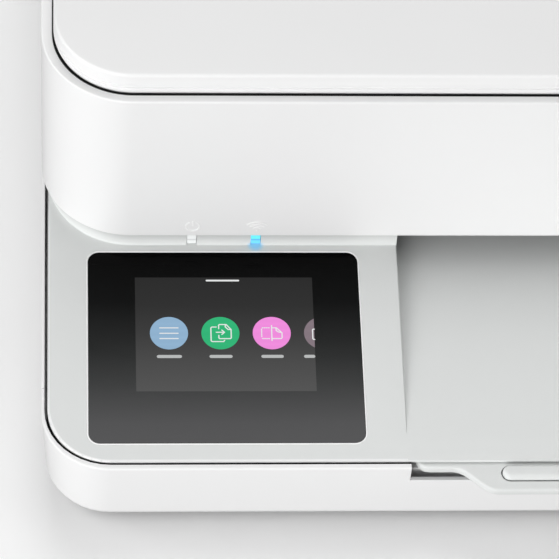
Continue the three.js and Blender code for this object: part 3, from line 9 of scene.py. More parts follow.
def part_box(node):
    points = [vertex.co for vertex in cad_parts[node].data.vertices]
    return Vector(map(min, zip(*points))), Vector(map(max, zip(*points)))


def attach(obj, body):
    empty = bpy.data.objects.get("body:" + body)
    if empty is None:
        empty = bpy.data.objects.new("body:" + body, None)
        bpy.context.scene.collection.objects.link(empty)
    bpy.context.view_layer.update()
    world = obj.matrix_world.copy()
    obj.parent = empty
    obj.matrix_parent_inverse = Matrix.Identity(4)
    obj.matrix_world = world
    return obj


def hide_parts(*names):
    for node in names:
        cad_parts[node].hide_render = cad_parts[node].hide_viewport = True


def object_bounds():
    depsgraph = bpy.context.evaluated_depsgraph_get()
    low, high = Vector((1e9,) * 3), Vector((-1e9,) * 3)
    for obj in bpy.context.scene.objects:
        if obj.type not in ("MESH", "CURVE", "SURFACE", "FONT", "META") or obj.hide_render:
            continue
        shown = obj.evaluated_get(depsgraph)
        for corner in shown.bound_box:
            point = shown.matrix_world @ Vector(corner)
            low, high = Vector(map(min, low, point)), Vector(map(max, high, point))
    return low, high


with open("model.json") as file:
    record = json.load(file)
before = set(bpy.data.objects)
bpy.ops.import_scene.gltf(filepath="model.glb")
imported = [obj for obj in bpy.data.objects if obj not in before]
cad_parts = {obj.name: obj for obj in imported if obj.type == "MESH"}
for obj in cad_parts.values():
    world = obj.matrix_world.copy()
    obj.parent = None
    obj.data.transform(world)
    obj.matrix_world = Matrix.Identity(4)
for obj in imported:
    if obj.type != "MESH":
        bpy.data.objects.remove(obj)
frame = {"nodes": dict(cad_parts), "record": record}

cad_lo, cad_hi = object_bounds()
nodes = frame["nodes"]
MM = 0.001

# ---------------------------------------------------------------- places taken from the frame
housing_lo, housing_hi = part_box("scanner_housing")
lid_lo, lid_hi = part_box("scanner_lid")
pad_lo, pad_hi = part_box("lid_pad")
bezel_lo, bezel_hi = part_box("scanner_bezel")
deck_lo, deck_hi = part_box("mid_casing")
glass_lo, glass_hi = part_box("control_glass")
power_lo, power_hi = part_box("power_light_pipe")
wireless_lo, wireless_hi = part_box("wireless_light_pipe")
stop_lo, stop_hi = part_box("paper_stop")

LEFT = cad_lo.x
RIGHT = cad_hi.x
REAR = cad_hi.y
HOUSING_Z = housing_lo.z
LEDGE_Z = housing_hi.z
TUB_Z = 88 * MM
TUB_FLOOR = 90 * MM
WINDOW_HEIGHT = 4.4 * MM
WINDOW_LOW = power_hi.z - WINDOW_HEIGHT
WINDOW_GAP = 0.15 * MM
SLAB_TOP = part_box("output_extender")[1].z
TILT = math.radians(4.5)
PANEL_Z = 34.7 * MM
PANEL = Matrix.Translation((0, deck_lo.y, PANEL_Z)) @ Matrix.Rotation(TILT, 4, "X")

# The screen's place on the panel: x, and s up the slope.
SCREEN_X = -199.2 * MM
SCREEN_S = 24.5 * MM
SCREEN_WIDTH = 54.9 * MM
SCREEN_LENGTH = 41.1 * MM
SCREEN_END = SCREEN_X + SCREEN_WIDTH


def panel_z(y):
    """The panel's height at a depth."""
    return PANEL.translation.z + (y - deck_lo.y) * math.tan(TILT)


def screen_corner(across, up):
    """A corner of the screen, as shares of its width and length."""
    return PANEL @ Vector((SCREEN_X + across * SCREEN_WIDTH, SCREEN_S + up * SCREEN_LENGTH, 0))


# ---------------------------------------------------------------- node materials
TONE_SCALE = 9
TONE_SPREAD = 0.012
GLOSS_SCALE = 60
GLOSS_SPREAD = 0.05
GRAIN_HEIGHT = 0.00006


def tone(hex_code):
    """A colour given as it looks on screen, in the linear values that shaders take."""
    parts = [int(hex_code[i:i + 2], 16) / 255 for i in (0, 2, 4)]
    return [p / 12.92 if p <= 0.04045 else ((p + 0.055) / 1.055) ** 2.4 for p in parts] + [1.0]


class Finish:
    """A node material built up from a Principled shader."""

    def __init__(self, name, colour, roughness=0.5, metallic=0.0, specular=0.5):
        self.material = bpy.data.materials.new(name)
        self.material.use_nodes = True
        self.tree = self.material.node_tree
        self.shader = self.tree.nodes["Principled BSDF"]
        self.colour = tone(colour)
        self.shader.inputs["Base Color"].default_value = self.colour
        self.shader.inputs["Roughness"].default_value = roughness
        self.shader.inputs["Metallic"].default_value = metallic
        self.shader.inputs["Specular IOR Level"].default_value = specular
        self.place = self.node("ShaderNodeTexCoord").outputs["Object"]

    def node(self, kind, **settings):
        made = self.tree.nodes.new(kind)
        for key, value in settings.items():
            setattr(made, key, value)
        return made

    def link(self, a, b):
        self.tree.links.new(a, b)

    def noise(self, scale, detail=3.0, stretch=None):
        made = self.node("ShaderNodeTexNoise")
        made.inputs["Scale"].default_value = scale
        made.inputs["Detail"].default_value = detail
        place = self.place
        if stretch:
            mapping = self.node("ShaderNodeMapping")
            mapping.inputs["Scale"].default_value = stretch
            self.link(place, mapping.inputs["Vector"])
            place = mapping.outputs["Vector"]
        self.link(place, made.inputs["Vector"])
        return made.outputs["Fac"]

    def cells(self, scale, **settings):
        made = self.node("ShaderNodeTexVoronoi", **settings)
        made.inputs["Scale"].default_value = scale
        self.link(self.place, made.inputs["Vector"])
        return made

    def along(self, axis, start, end):
        """How far a point lies from start to end along an axis, from 0 to 1."""
        split = self.node("ShaderNodeSeparateXYZ")
        self.link(self.place, split.inputs["Vector"])
        made = self.node("ShaderNodeMapRange")
        made.inputs["From Min"].default_value = start
        made.inputs["From Max"].default_value = end
        self.link(split.outputs[axis], made.inputs["Value"])
        return made.outputs["Result"]

    def near(self, centre, reach, core=0.35):
        """One round a point, falling softly from a core to zero at a reach that is given per axis."""
        offset = self.node("ShaderNodeVectorMath", operation="SUBTRACT")
        offset.inputs[1].default_value = centre
        self.link(self.place, offset.inputs[0])
        share = self.node("ShaderNodeVectorMath", operation="DIVIDE")
        share.inputs[1].default_value = reach
        self.link(offset.outputs["Vector"], share.inputs[0])
        away = self.node("ShaderNodeVectorMath", operation="LENGTH")
        self.link(share.outputs["Vector"], away.inputs[0])
        made = self.node("ShaderNodeMapRange", interpolation_type="SMOOTHSTEP")
        made.inputs["From Min"].default_value = core
        made.inputs["From Max"].default_value = 1
        made.inputs["To Min"].default_value = 1
        made.inputs["To Max"].default_value = 0
        self.link(away.outputs["Value"], made.inputs["Value"])
        return made.outputs["Result"]

    def ramp(self, factor, stops):
        made = self.node("ShaderNodeValToRGB")
        elements = made.color_ramp.elements
        while len(elements) < len(stops):
            elements.new(0.5)
        for element, (position, colour) in zip(elements, stops):
            element.position = position
            element.color = colour
        self.link(factor, made.inputs["Fac"])
        return made.outputs["Color"]

    def tones(self, factor, stops):
        """A ramp whose colours are given as they look on screen."""
        return self.ramp(factor, [(at, tone(code)) for at, code in stops])

    def mix(self, factor, a, b):
        made = self.node("ShaderNodeMix", data_type="RGBA")
        self.link(factor, made.inputs["Factor"])
        for source, socket in ((a, made.inputs["A"]), (b, made.inputs["B"])):
            if isinstance(source, list):
                socket.default_value = source
            else:
                self.link(source, socket)
        return made.outputs["Result"]

    def span(self, factor, low, high):
        made = self.node("ShaderNodeMapRange")
        made.inputs["To Min"].default_value = low
        made.inputs["To Max"].default_value = high
        self.link(factor, made.inputs["Value"])
        return made.outputs["Result"]

    def drift(self, factor, spread, colour=None):
        """The colour, a little darker and lighter by turns."""
        colour = colour or self.colour
        dark = [c * (1 - spread) for c in colour[:3]] + [1.0]
        light = [min(1.0, c * (1 + spread)) for c in colour[:3]] + [1.0]
        return self.ramp(factor, [(0.25, dark), (0.75, light)])

    def colour_from(self, colour):
        self.link(colour, self.shader.inputs["Base Color"])

    def glow_from(self, colour, strength):
        self.link(colour, self.shader.inputs["Emission Color"])
        self.shader.inputs["Emission Strength"].default_value = strength

    def vary_roughness(self, factor, low, high):
        self.link(self.span(factor, low, high), self.shader.inputs["Roughness"])

    def bump(self, height, strength, distance):
        made = self.node("ShaderNodeBump")
        made.inputs["Strength"].default_value = strength
        made.inputs["Distance"].default_value = distance
        self.link(height, made.inputs["Height"])
        self.link(made.outputs["Normal"], self.shader.inputs["Normal"])


def moulded(name, colour, roughness, grain=2600, depth=0.12, specular=0.4):
    """Injection-moulded plastic: a fine spark-eroded grain and slight drifts of tone and gloss."""
    made = Finish(name, colour, roughness, specular=specular)
    made.colour_from(made.drift(made.noise(TONE_SCALE, 2), TONE_SPREAD))
    made.vary_roughness(made.noise(GLOSS_SCALE, 4), roughness - GLOSS_SPREAD, roughness + GLOSS_SPREAD)
    made.bump(made.noise(grain, 2), depth, GRAIN_HEIGHT)
    return made.material


def deck_plastic():
    """Grey deck, with painted shade that darkens it up under the scanner, and a painted pool of the
    wireless light's glow below its window.
    """
    made = Finish("grey_shell", "e0e2e1", 0.5, specular=0.4)
    # Painted shade: the deck's colour darkens to c3c5c4 towards the scanner's underside.
    under = made.along("Z", WINDOW_LOW + 1.5 * MM, HOUSING_Z)
    body = made.mix(under, made.drift(made.noise(TONE_SCALE, 2), TONE_SPREAD), tone("c3c5c4"))
    # A painted pool of light: the wireless light's glow on the deck below its window, in base colour
    # and emission.
    foot = ((wireless_lo.x + wireless_hi.x) / 2, wireless_lo.y, WINDOW_LOW - 0.3 * MM)
    painted_glow = made.near(foot, (3.1 * MM, 3.4 * MM, 1.4 * MM))
    made.colour_from(made.mix(painted_glow, body, tone("86b4d6")))
    made.glow_from(made.mix(painted_glow, tone("000000"), tone("7fb9c9")), 0.4)
    made.vary_roughness(made.noise(GLOSS_SCALE, 4), 0.45, 0.55)
    made.bump(made.noise(2200, 2), 0.2, GRAIN_HEIGHT)
    return made.material


def touch_glass():
    """Touch glass: black by its far edge, and a painted reflection that fades it to grey towards the
    near edge.
    """
    made = Finish("black_glass", "08090a", 0.06, specular=0.05)
    # Painted reflection: the glass's colour goes from grey at its near edge to black at its far edge.
    painted_reflection = made.along("Y", glass_lo.y, glass_hi.y)
    made.colour_from(made.tones(painted_reflection, [(0.0, "59595a"), (0.1, "565657"), (0.31, "404141"),
                                       (0.52, "272828"), (0.73, "0f1010"), (0.95, "040404")]))
    made.vary_roughness(made.noise(30, 2), 0.05, 0.08)
    return made.material


def lit(name, colour, grid=0.02):
    """A lit spot of the screen, with the faint grid of its pixels."""
    made = Finish(name, "000000", 0.3, specular=0.05)
    dots = made.cells(5200)
    dots.inputs["Randomness"].default_value = 0
    made.glow_from(made.drift(dots.outputs["Distance"], grid, tone(colour)), 1)
    return made.material


def lit_field():
    """The screen's backdrop, which fades from dark grey at its far edge to mid grey: a painted
    reflection in its glow.
    """
    made = Finish("screen_field", "000000", 0.3, specular=0.05)
    # Painted reflection: the glow is lighter towards the screen's near edge.
    painted_reflection = made.along("Y", screen_corner(0, 0).y, screen_corner(0, 1).y)
    made.glow_from(made.tones(painted_reflection, [(0.0, "555555"), (0.25, "4b4b4b"), (0.5, "3c3c3c"),
                                     (0.75, "2f2f2f"), (1.0, "2a2a2a")]), 1)
    return made.material


def circuit():
    """Green solder resist with lighter traces."""
    made = Finish("circuit_board", "1c5a38", 0.5)
    away = made.cells(380, feature="DISTANCE_TO_EDGE").outputs["Distance"]
    made.colour_from(made.ramp(away, [(0.03, tone("2f7d52")), (0.06, made.colour)]))
    made.bump(away, 0.2, 0.0002)
    return made.material


def metal(name, colour, roughness, stretch):
    """Rolled or drawn steel with fine lines along one direction."""
    made = Finish(name, colour, roughness, metallic=1.0)
    lines = made.noise(300, 3, stretch)
    made.colour_from(made.drift(lines, 0.08))
    made.vary_roughness(lines, roughness - 0.08, roughness + 0.1)
    made.bump(lines, 0.15, 0.0001)
    return made.material


def clear(name, colour, roughness=0.02):
    """Clear glass, with a trace of haze."""
    made = Finish(name, colour, roughness)
    made.shader.inputs["Transmission Weight"].default_value = 0.9
    made.shader.inputs["IOR"].default_value = 1.5
    made.vary_roughness(made.noise(20, 2), roughness, roughness + 0.02)
    return made.material


def light_window(name, body, upper, lower, groove, high, strength):
    """A light window in two steps, with a shallow groove across it."""
    made = Finish(name, body, 0.35)
    height = made.along("Z", WINDOW_LOW, high)
    made.glow_from(made.tones(height, [(0.0, lower), (0.36, lower), (0.42, groove), (0.5, groove),
                                       (0.58, upper), (1.0, upper)]), strength)
    made.vary_roughness(made.noise(400, 2), 0.3, 0.4)
    return made.material


LOOKS = {
    "white_shell": moulded("white_shell", "f1f1f1", 0.42),
    "grey_shell": deck_plastic(),
    "pale_plastic": moulded("pale_plastic", "dcdddc", 0.5),
    "dark_plastic": moulded("dark_plastic", "2a2c2e", 0.5, 1800, 0.25),
    "black_glass": touch_glass(),
    "screen": moulded("screen", "3c3f42", 0.3),
    "circuit_board": circuit(),
    "steel": metal("steel", "b4b8bb", 0.34, (0.04, 1, 1)),
    "rubber": moulded("rubber", "1b1b1c", 0.82, 1500, 0.4, 0.2),
    "clear_glass": clear("clear_glass", "e8f2f2"),
    "foam": moulded("foam", "f2f2f0", 0.85, 900, 0.5, 0.1),
    "gear_plastic": moulded("gear_plastic", "e6e1d3", 0.45),
    "cartridge_plastic": moulded("cartridge_plastic", "1b1c1f", 0.42),
    "white_light": light_window("white_light", "d4d6d6", "bcbebe", "b6b8b8", "6e7070",
                                power_hi.z, 0.57),
    "cyan_light": light_window("cyan_light", "3a8fb0", "70ecf0", "78cdf2", "5f9cd0",
                               wireless_hi.z, 0.85),
}
# A brighter white than the shell: a painted highlight for the glass rim's chamfer and the raised signs.
HIGHLIGHT_WHITE = moulded("painted_highlight_white", "fbfbfb", 0.4)


# ---------------------------------------------------------------- carried-over pieces
def keep_within(piece, lo, hi):
    """Holds what the rounding of edges makes inside the piece's own box."""
    tree = bpy.data.node_groups.new(piece.name + "_within", "GeometryNodeTree")
    for direction in ("INPUT", "OUTPUT"):
        tree.interface.new_socket("Geometry", in_out=direction, socket_type="NodeSocketGeometry")
    start = tree.nodes.new("NodeGroupInput")
    end = tree.nodes.new("NodeGroupOutput")
    place = tree.nodes.new("GeometryNodeInputPosition")
    move = tree.nodes.new("GeometryNodeSetPosition")
    value = place.outputs["Position"]
    for operation, limit in (("MAXIMUM", lo), ("MINIMUM", hi)):
        bound = tree.nodes.new("ShaderNodeVectorMath")
        bound.operation = operation
        bound.inputs[1].default_value = limit
        tree.links.new(value, bound.inputs[0])
        value = bound.outputs["Vector"]
    tree.links.new(start.outputs["Geometry"], move.inputs["Geometry"])
    tree.links.new(value, move.inputs["Position"])
    tree.links.new(move.outputs["Geometry"], end.inputs["Geometry"])
    within = piece.modifiers.new("within", "NODES")
    within.node_group = tree


def soften(piece, width, segments):
    """Joins the faces of a carried-over piece, rounds its edges and shades it smooth."""
    weld = piece.modifiers.new("weld", "WELD")
    weld.merge_threshold = 0.00001
    flat = piece.modifiers.new("flat", "DECIMATE")
    flat.decimate_type = "DISSOLVE"
    flat.angle_limit = math.radians(1)
    edge = piece.modifiers.new("edge", "BEVEL")
    edge.width = width
    edge.segments = segments
    edge.limit_method = "ANGLE"
    edge.angle_limit = math.radians(35)
    edge.use_clamp_overlap = False
    keep_within(piece, *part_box(piece.name))
    level = piece.modifiers.new("level", "WEIGHTED_NORMAL")
    level.weight = 100
    for face in piece.data.polygons:
        face.use_smooth = True


SMALL_EDGE = 0.22 * MM
LARGE_EDGES = {
    "output_extender": 0.8 * MM,
    "paper_stop": 0.7 * MM,
    "mid_casing": 0.35 * MM,
    "paper_tray": 0.24 * MM,
    "base_chassis": 0.24 * MM,
}
for subpart in frame["record"]["subparts"]:
    name = subpart["node"]
    piece = nodes[name]
    piece.data.materials.clear()
    piece.data.materials.append(LOOKS[subpart["material_slot"]])
    soften(piece, LARGE_EDGES.get(name, SMALL_EDGE), 3 if name in LARGE_EDGES else 2)


# ---------------------------------------------------------------- mesh helpers
CORNER_STEPS = 24
LEAST_RADIUS = 0.2 * MM


def outline(box, inset, front, rear, steps=CORNER_STEPS):
    """A rounded rectangle in plan, drawn in by inset; box is (x0, x1, y0, y1)."""
    x0, x1, y0, y1 = box[0] + inset, box[1] - inset, box[2] + inset, box[3] - inset
    front = max(front - inset, LEAST_RADIUS)
    rear = max(rear - inset, LEAST_RADIUS)
    corners = [(x1 - front, y0 + front, front, -90), (x1 - rear, y1 - rear, rear, 0),
               (x0 + rear, y1 - rear, rear, 90), (x0 + front, y0 + front, front, 180)]
    points = []
    for cx, cy, radius, start in corners:
        points += bend(cx, cy, radius, start, start + 90, steps)
    return points


def bend(u, v, radius, start, end, steps=5):
    """Points of an arc, in degrees."""
    turns = [math.radians(start + (end - start) * i / steps) for i in range(steps + 1)]
    return [(u + radius * math.cos(turn), v + radius * math.sin(turn)) for turn in turns]


def add_loft(bm, rings, closed=False):
    """Joins rings of points with quads and caps the ends, unless the rings close on themselves."""
    made = [[bm.verts.new(point) for point in ring] for ring in rings]
    count = len(made[0])
    pairs = list(zip(made, made[1:])) + ([(made[-1], made[0])] if closed else [])
    for low, high in pairs:
        for i in range(count):
            j = (i + 1) % count
            bm.faces.new((low[i], low[j], high[j], high[i]))
    if not closed:
        bm.faces.new(reversed(made[0]))
        bm.faces.new(made[-1])


def add_block(bm, lo, hi):
    """A plain block inside another piece."""
    corners = [(lo[0], lo[1]), (hi[0], lo[1]), (hi[0], hi[1]), (lo[0], hi[1])]
    add_loft(bm, [[(x, y, z) for x, y in corners] for z in (lo[2], hi[2])])


def add_sweep(bm, box, front, rear, profile, steps=CORNER_STEPS):
    """Carries a profile of (inset, z) points round a rounded rectangle."""
    add_loft(bm, [[(x, y, z) for x, y in outline(box, inset, front, rear, steps)]
                  for inset, z in profile])


def add_band(bm, box, front, rear, outer, inner, low, high):
    """A flat-sided band between two insets of a rounded rectangle."""
    rings = [[(x, y, z) for x, y in outline(box, inset, front, rear)]
             for inset, z in ((outer, low), (outer, high), (inner, high), (inner, low))]
    add_loft(bm, rings, closed=True)


def placed(name, mesh, look, body):
    """Makes an object of a mesh, with its material and its body."""
    made = bpy.data.objects.new(name, mesh)
    bpy.context.scene.collection.objects.link(made)
    made.data.materials.append(look)
    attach(made, body)
    return made


def piece_from(name, bm, slot, body, look=None, smooth=True):
    """Makes a piece of a closed mesh, in its slot's material unless another look is given."""
    bmesh.ops.recalc_face_normals(bm, faces=bm.faces)
    mesh = bpy.data.meshes.new(name)
    bm.to_mesh(mesh)
    bm.free()
    for face in mesh.polygons:
        face.use_smooth = smooth
    if smooth:
        mesh.set_sharp_from_angle(angle=math.radians(40))
    made = placed(name, mesh, look or LOOKS[slot], body)
    if smooth:
        even = made.modifiers.new("even", "WEIGHTED_NORMAL")
        even.keep_sharp = True
    return made


# ---------------------------------------------------------------- scanner housing
CASE = (LEFT, RIGHT, housing_lo.y, REAR)
SCANNER_CORNER = 27.6 * MM
REAR_CORNER = 20 * MM
WALL = 2.5 * MM
# The ledge round the lid reaches in as far as LIP, and its inner edge goes down to LIP_LOW.
LIP = 3.3 * MM
LIP_LOW = 109.3 * MM
LIP_ROUND = 0.3 * MM
LEDGE_FALL = 0.55 * MM
CASE_ROUND = 0.6 * MM


def housing_skin():
    """The housing: an open tub above a skirt, with soft edges and a ledge that falls inwards."""
    bm = bmesh.new()
    profile = [(WALL, TUB_Z), (WALL, HOUSING_Z + LIP_ROUND)]
    profile += bend(WALL - LIP_ROUND, HOUSING_Z + LIP_ROUND, LIP_ROUND, 0, -90, 3)
    profile += [(2 * CASE_ROUND, HOUSING_Z)]
    profile += bend(CASE_ROUND, HOUSING_Z + CASE_ROUND, CASE_ROUND, -90, -180)
    profile += [(0, HOUSING_Z + 3 * CASE_ROUND), (0, LEDGE_Z - 3 * CASE_ROUND)]
    profile += bend(CASE_ROUND, LEDGE_Z - CASE_ROUND, CASE_ROUND, 180, 90)
    profile += bend(LIP - LIP_ROUND, LEDGE_Z - LEDGE_FALL - LIP_ROUND, LIP_ROUND, 80, 0, 3)
    profile += [(LIP, LIP_LOW), (WALL, LIP_LOW), (WALL, TUB_FLOOR)]
    add_sweep(bm, CASE, SCANNER_CORNER, REAR_CORNER, profile)
    return bm


SCANNER_PIVOT = Vector((0, 173.15, 49.988)) * MM
HINGE_X = 185 * MM
EAR_SPREAD = 8.6 * MM
EAR_HALF = 2 * MM
EAR_RADIUS = 3.2 * MM
POST_X = 200 * MM
POST_YS = (-67.99 * MM, 150 * MM)
POST_RADIUS = 4 * MM
RAIL_HOLDER_XS = (184 * MM, 188 * MM)
RAIL_HOLDER_YS = (45 * MM, 53 * MM)
RAIL_HOLDER_TOP = 95 * MM


def add_ear(bm, x):
    """An ear round a scanner hinge's pin: round below its hole and straight up to the tub."""
    top = TUB_Z + 0.5 * MM
    rear = REAR - 1.25 * MM
    pivot_y, pivot_z = SCANNER_PIVOT.y, SCANNER_PIVOT.z
    profile = [(rear, top), (pivot_y - EAR_RADIUS, top)]
    profile += bend(pivot_y, pivot_z, EAR_RADIUS, 180, 360, 14)
    profile += [(rear, pivot_z + 0.3 * EAR_RADIUS)]
    add_loft(bm, [[(end, y, z) for y, z in profile] for end in (x - EAR_HALF, x + EAR_HALF)])


def add_post(bm, x, y):
    """A round post from the tub's floor to just under the bezel."""
    ring = bend(x, y, POST_RADIUS, 0, 342, 19)
    add_loft(bm, [[(px, py, z) for px, py in ring] for z in (TUB_FLOOR - MM, bezel_lo.z - 0.3 * MM)])


def housing_fittings():
    """Ears round the scanner hinges, posts under the bezel, and the rail's two holders."""
    bm = bmesh.new()
    for side in (-1, 1):
        for ear in (-1, 1):
            add_ear(bm, side * HINGE_X + ear * EAR_SPREAD)
        for y in POST_YS:
            add_post(bm, side * POST_X, y)
        x0, x1 = sorted(side * x for x in RAIL_HOLDER_XS)
        add_block(bm, (x0, RAIL_HOLDER_YS[0], TUB_FLOOR - MM), (x1, RAIL_HOLDER_YS[1], RAIL_HOLDER_TOP))
    return bm


shell = piece_from("scanner_shell", housing_skin(), "white_shell", "scanner_unit")
piece_from("scanner_fittings", housing_fittings(), "white_shell", "scanner_unit")
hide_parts("scanner_housing")

# ---------------------------------------------------------------- scanner lid
LID = (lid_lo.x, lid_hi.x, lid_lo.y, lid_hi.y)
LID_INSET = 3.7 * MM
LID_THICK = 3 * MM
# From the fine moulding line at LID_LINE the sides lean in by LID_LEAN, up to a rim of radius LID_RIM.
LID_RIM = 1.05 * MM
LID_LEAN = 0.12 * MM
LID_CROWN = 0.5 * MM
LID_LINE = 113.2 * MM
ROLL_TOP = LID_LINE - 0.2 * MM
ROLL_IN = 1.9 * MM
LID_HINGE_X = 150 * MM
LUG_NEAR = 10.6 * MM
LUG_FAR = 15.5 * MM
PAD_CORNER = 9 * MM


def lid_skin():
    """The lid: a lower edge that rolls under, a fine moulding line and a low crowned top."""
    bm = bmesh.new()
    top = lid_hi.z
    profile = [(WALL, top - LID_THICK), (WALL, lid_lo.z + 0.3 * MM), (WALL - 0.3 * MM, lid_lo.z)]
    profile += [(ROLL_IN * (1 - math.cos(t)), ROLL_TOP - (ROLL_TOP - lid_lo.z) * math.sin(t))
                for t in (math.radians(10 * i) for i in range(9, -1, -1))]
    profile += [(inset * MM, LID_LINE + rise * MM)
                for inset, rise in ((0, -0.12), (0.5, 0.12), (0.3, 0.6), (0.14, 1.3), (0.05, 2.2))]
    profile += bend(LID_LEAN + LID_RIM, top - LID_CROWN - LID_RIM, LID_RIM, 178, 92, 6)
    profile += [(inset * MM, top - fall * MM) for inset, fall in ((5, 0.32), (12, 0.12), (24, 0))]
    add_sweep(bm, LID, SCANNER_CORNER - LID_INSET, REAR_CORNER - LID_INSET, profile)
    return bm


def lid_bosses():
    """Two lugs beside each hinge that hold its pin."""
    bm = bmesh.new()
    for side in (-1, 1):
        for lug in (-1, 1):
            x0, x1 = sorted(side * LID_HINGE_X + lug * reach for reach in (LUG_NEAR, LUG_FAR))
            add_block(bm, (x0, lid_hi.y - 4.9 * MM, lid_lo.z + 0.3 * MM),
                      (x1, lid_hi.y - MM, lid_hi.z - 2.7 * MM))
    return bm


def lid_cushion():
    """The foam pad under the lid: flat where it hangs from the lid, crowned towards the glass."""
    bm = bmesh.new()
    box = (pad_lo.x, pad_hi.x, pad_lo.y, pad_hi.y)
    thick = pad_hi.z - pad_lo.z
    waist = pad_lo.z + 0.45 * thick
    profile = [(0.3 * MM, pad_hi.z), (0, pad_hi.z - 0.2 * thick), (0.1 * MM, waist)]
    profile += [(0.1 * MM + 2.4 * MM * (1 - math.cos(t)), waist - 0.3 * thick * math.sin(t))
                for t in (math.radians(15 * i) for i in range(1, 7))]
    profile += [(inset * MM, pad_lo.z + share * thick)
                for inset, share in ((7, 0.1), (18, 0.03), (45, 0), (80, 0))]
    add_sweep(bm, box, PAD_CORNER, PAD_CORNER, profile, 8)
    return bm


lid = piece_from("lid_shell", lid_skin(), "white_shell", "scanner_lid")
piece_from("lid_bosses", lid_bosses(), "white_shell", "scanner_lid")
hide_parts("scanner_lid")
cushion = piece_from("lid_cushion", lid_cushion(), "foam", "scanner_lid")
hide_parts("lid_pad")

# ---------------------------------------------------------------- dark strips that stand in for the shade in the seams
DECK = (deck_lo.x, deck_hi.x, deck_lo.y, 177.25 * MM)
DECK_CORNER = 19.1 * MM
NOTCH_HALF = 116.6 * MM
BAY_HALF = 117.4 * MM


def lid_gap_shade():
    """A black band on the bezel, down in the gap round the lid, that stands in for the gap's shade."""
    bm = bmesh.new()
    add_band(bm, CASE, SCANNER_CORNER, REAR_CORNER, LIP + 0.02 * MM, LIP + MM,
             bezel_hi.z + 0.02 * MM, LEDGE_Z - LEDGE_FALL - 0.4 * MM)
    return bm


def deck_gap_shade():
    """A dark strip round the deck's skirt, in the seam beside drawer and base, open at the notch:
    painted shade in the seam.
    """
    bm = bmesh.new()
    low, high = deck_lo.z + 0.4 * MM, 33.9 * MM
    runs = []
    for inset in (-0.3 * MM, -0.02 * MM):
        front = DECK[2] + inset
        ring = outline(DECK, inset, DECK_CORNER, DECK_CORNER)
        runs.append([(NOTCH_HALF, front)] + ring + [(-NOTCH_HALF, front)])
    add_loft(bm, [[(*a, low), (*a, high), (*b, high), (*b, low)] for a, b in zip(*runs)])
    return bm


# Both dark strips are painted shade in the gaps, not real seals.
piece_from("lid_gap_shade", lid_gap_shade(), "rubber", "scanner_unit")
piece_from("deck_gap_shade", deck_gap_shade(), "rubber", "root")

# ---------------------------------------------------------------- control panel
RIM_SECTION = [(-0.04, -0.6), (-0.04, -0.04), (-0.16, 0.1), (-0.28, 0.1), (-0.5, 0.02), (-0.5, -0.6)]
# The recess on the panel, as its limits in x and in s.
RECESS = (glass_lo.x, glass_hi.x, 6.3 * MM, 74.9 * MM)
RECESS_CORNER = 3.5 * MM
FIELD_UP = 0.02 * MM
SPOT_UP = 0.04 * MM
MARK_UP = 0.06 * MM
ICON_S = 45.3 * MM
ICON_RADIUS = 5.85 * MM
ICON_PITCH = 15.78 * MM
FIRST_ICON = SCREEN_X + 10.25 * MM
SIGN_WIDTH = 0.36 * MM
HANDLE_S = 64.45 * MM
HANDLE_XS = (-177.0 * MM, -167.2 * MM)
HANDLE_WIDTH = 0.6 * MM
CAPTION_S = 36.9 * MM
CAPTION_WIDTH = 1.1 * MM
CAPTION_HALVES = (3.3 * MM, 3.0 * MM, 2.9 * MM)


def glass_rim():
    """The chamfered rim of the recess that the glass lies in, in a brighter white than the shell as a
    painted highlight.
    """
    bm = bmesh.new()
    rings = []
    for inset, rise in RIM_SECTION:
        ring = outline(RECESS, inset * MM, RECESS_CORNER, RECESS_CORNER, 12)
        rings.append([PANEL @ Vector((x, s, rise * MM)) for x, s in ring])
    add_loft(bm, rings, closed=True)
    return bm


piece_from("glass_rim", glass_rim(), "white_shell", "root", HIGHLIGHT_WHITE)


def add_flat(bm, points, height):
    """A flat patch on the panel, from points across and up the slope."""
    bm.faces.new([bm.verts.new(PANEL @ Vector((x, s, height))) for x, s in points])


def round_points(x, s, radius, limit, count=64):
    """Points of a circle, cut off straight at a limit across."""
    turns = [2 * math.pi * i / count for i in range(count)]
    return [(min(x + radius * math.cos(turn), limit), s + radius * math.sin(turn)) for turn in turns]


def add_stroke(bm, points, width):
    """A line of even width with round ends and joints, drawn flat on the screen."""
    half = width / 2
    for (ax, ay), (bx, by) in zip(points, points[1:]):
        along = Vector((bx - ax, by - ay)).normalized() * half
        add_flat(bm, [(ax - along.y, ay + along.x), (ax + along.y, ay - along.x),
                      (bx + along.y, by - along.x), (bx - along.y, by + along.x)], MARK_UP)
    for x, s in points:
        add_flat(bm, bend(x, s, half, 0, 330, 11), MARK_UP)


def screen_piece(name, bm, look):
    """Makes a flat lit piece of the screen, facing up."""
    for face in bm.faces:
        face.normal_update()
        if face.normal.z < 0:
            face.normal_flip()
    mesh = bpy.data.meshes.new(name)
    bm.to_mesh(mesh)
    bm.free()
    placed(name, mesh, look, "root")


field = bmesh.new()
SCREEN_FAR = SCREEN_S + SCREEN_LENGTH
add_flat(field, [(SCREEN_X, SCREEN_S), (SCREEN_END, SCREEN_S), (SCREEN_END, SCREEN_FAR),
                 (SCREEN_X, SCREEN_FAR)], FIELD_UP)
screen_piece("screen_field", field, lit_field())

SPOTS = [("icon_blue", "90b2cf"), ("icon_green", "33b578"),
         ("icon_pink", "f08ddd"), ("icon_mauve", "85777f")]
for order, (name, colour) in enumerate(SPOTS):
    spot = bmesh.new()
    x = FIRST_ICON + order * ICON_PITCH
    add_flat(spot, round_points(x, ICON_S, ICON_RADIUS, SCREEN_END), SPOT_UP)
    screen_piece(name, spot, lit(name, colour, 0.04))

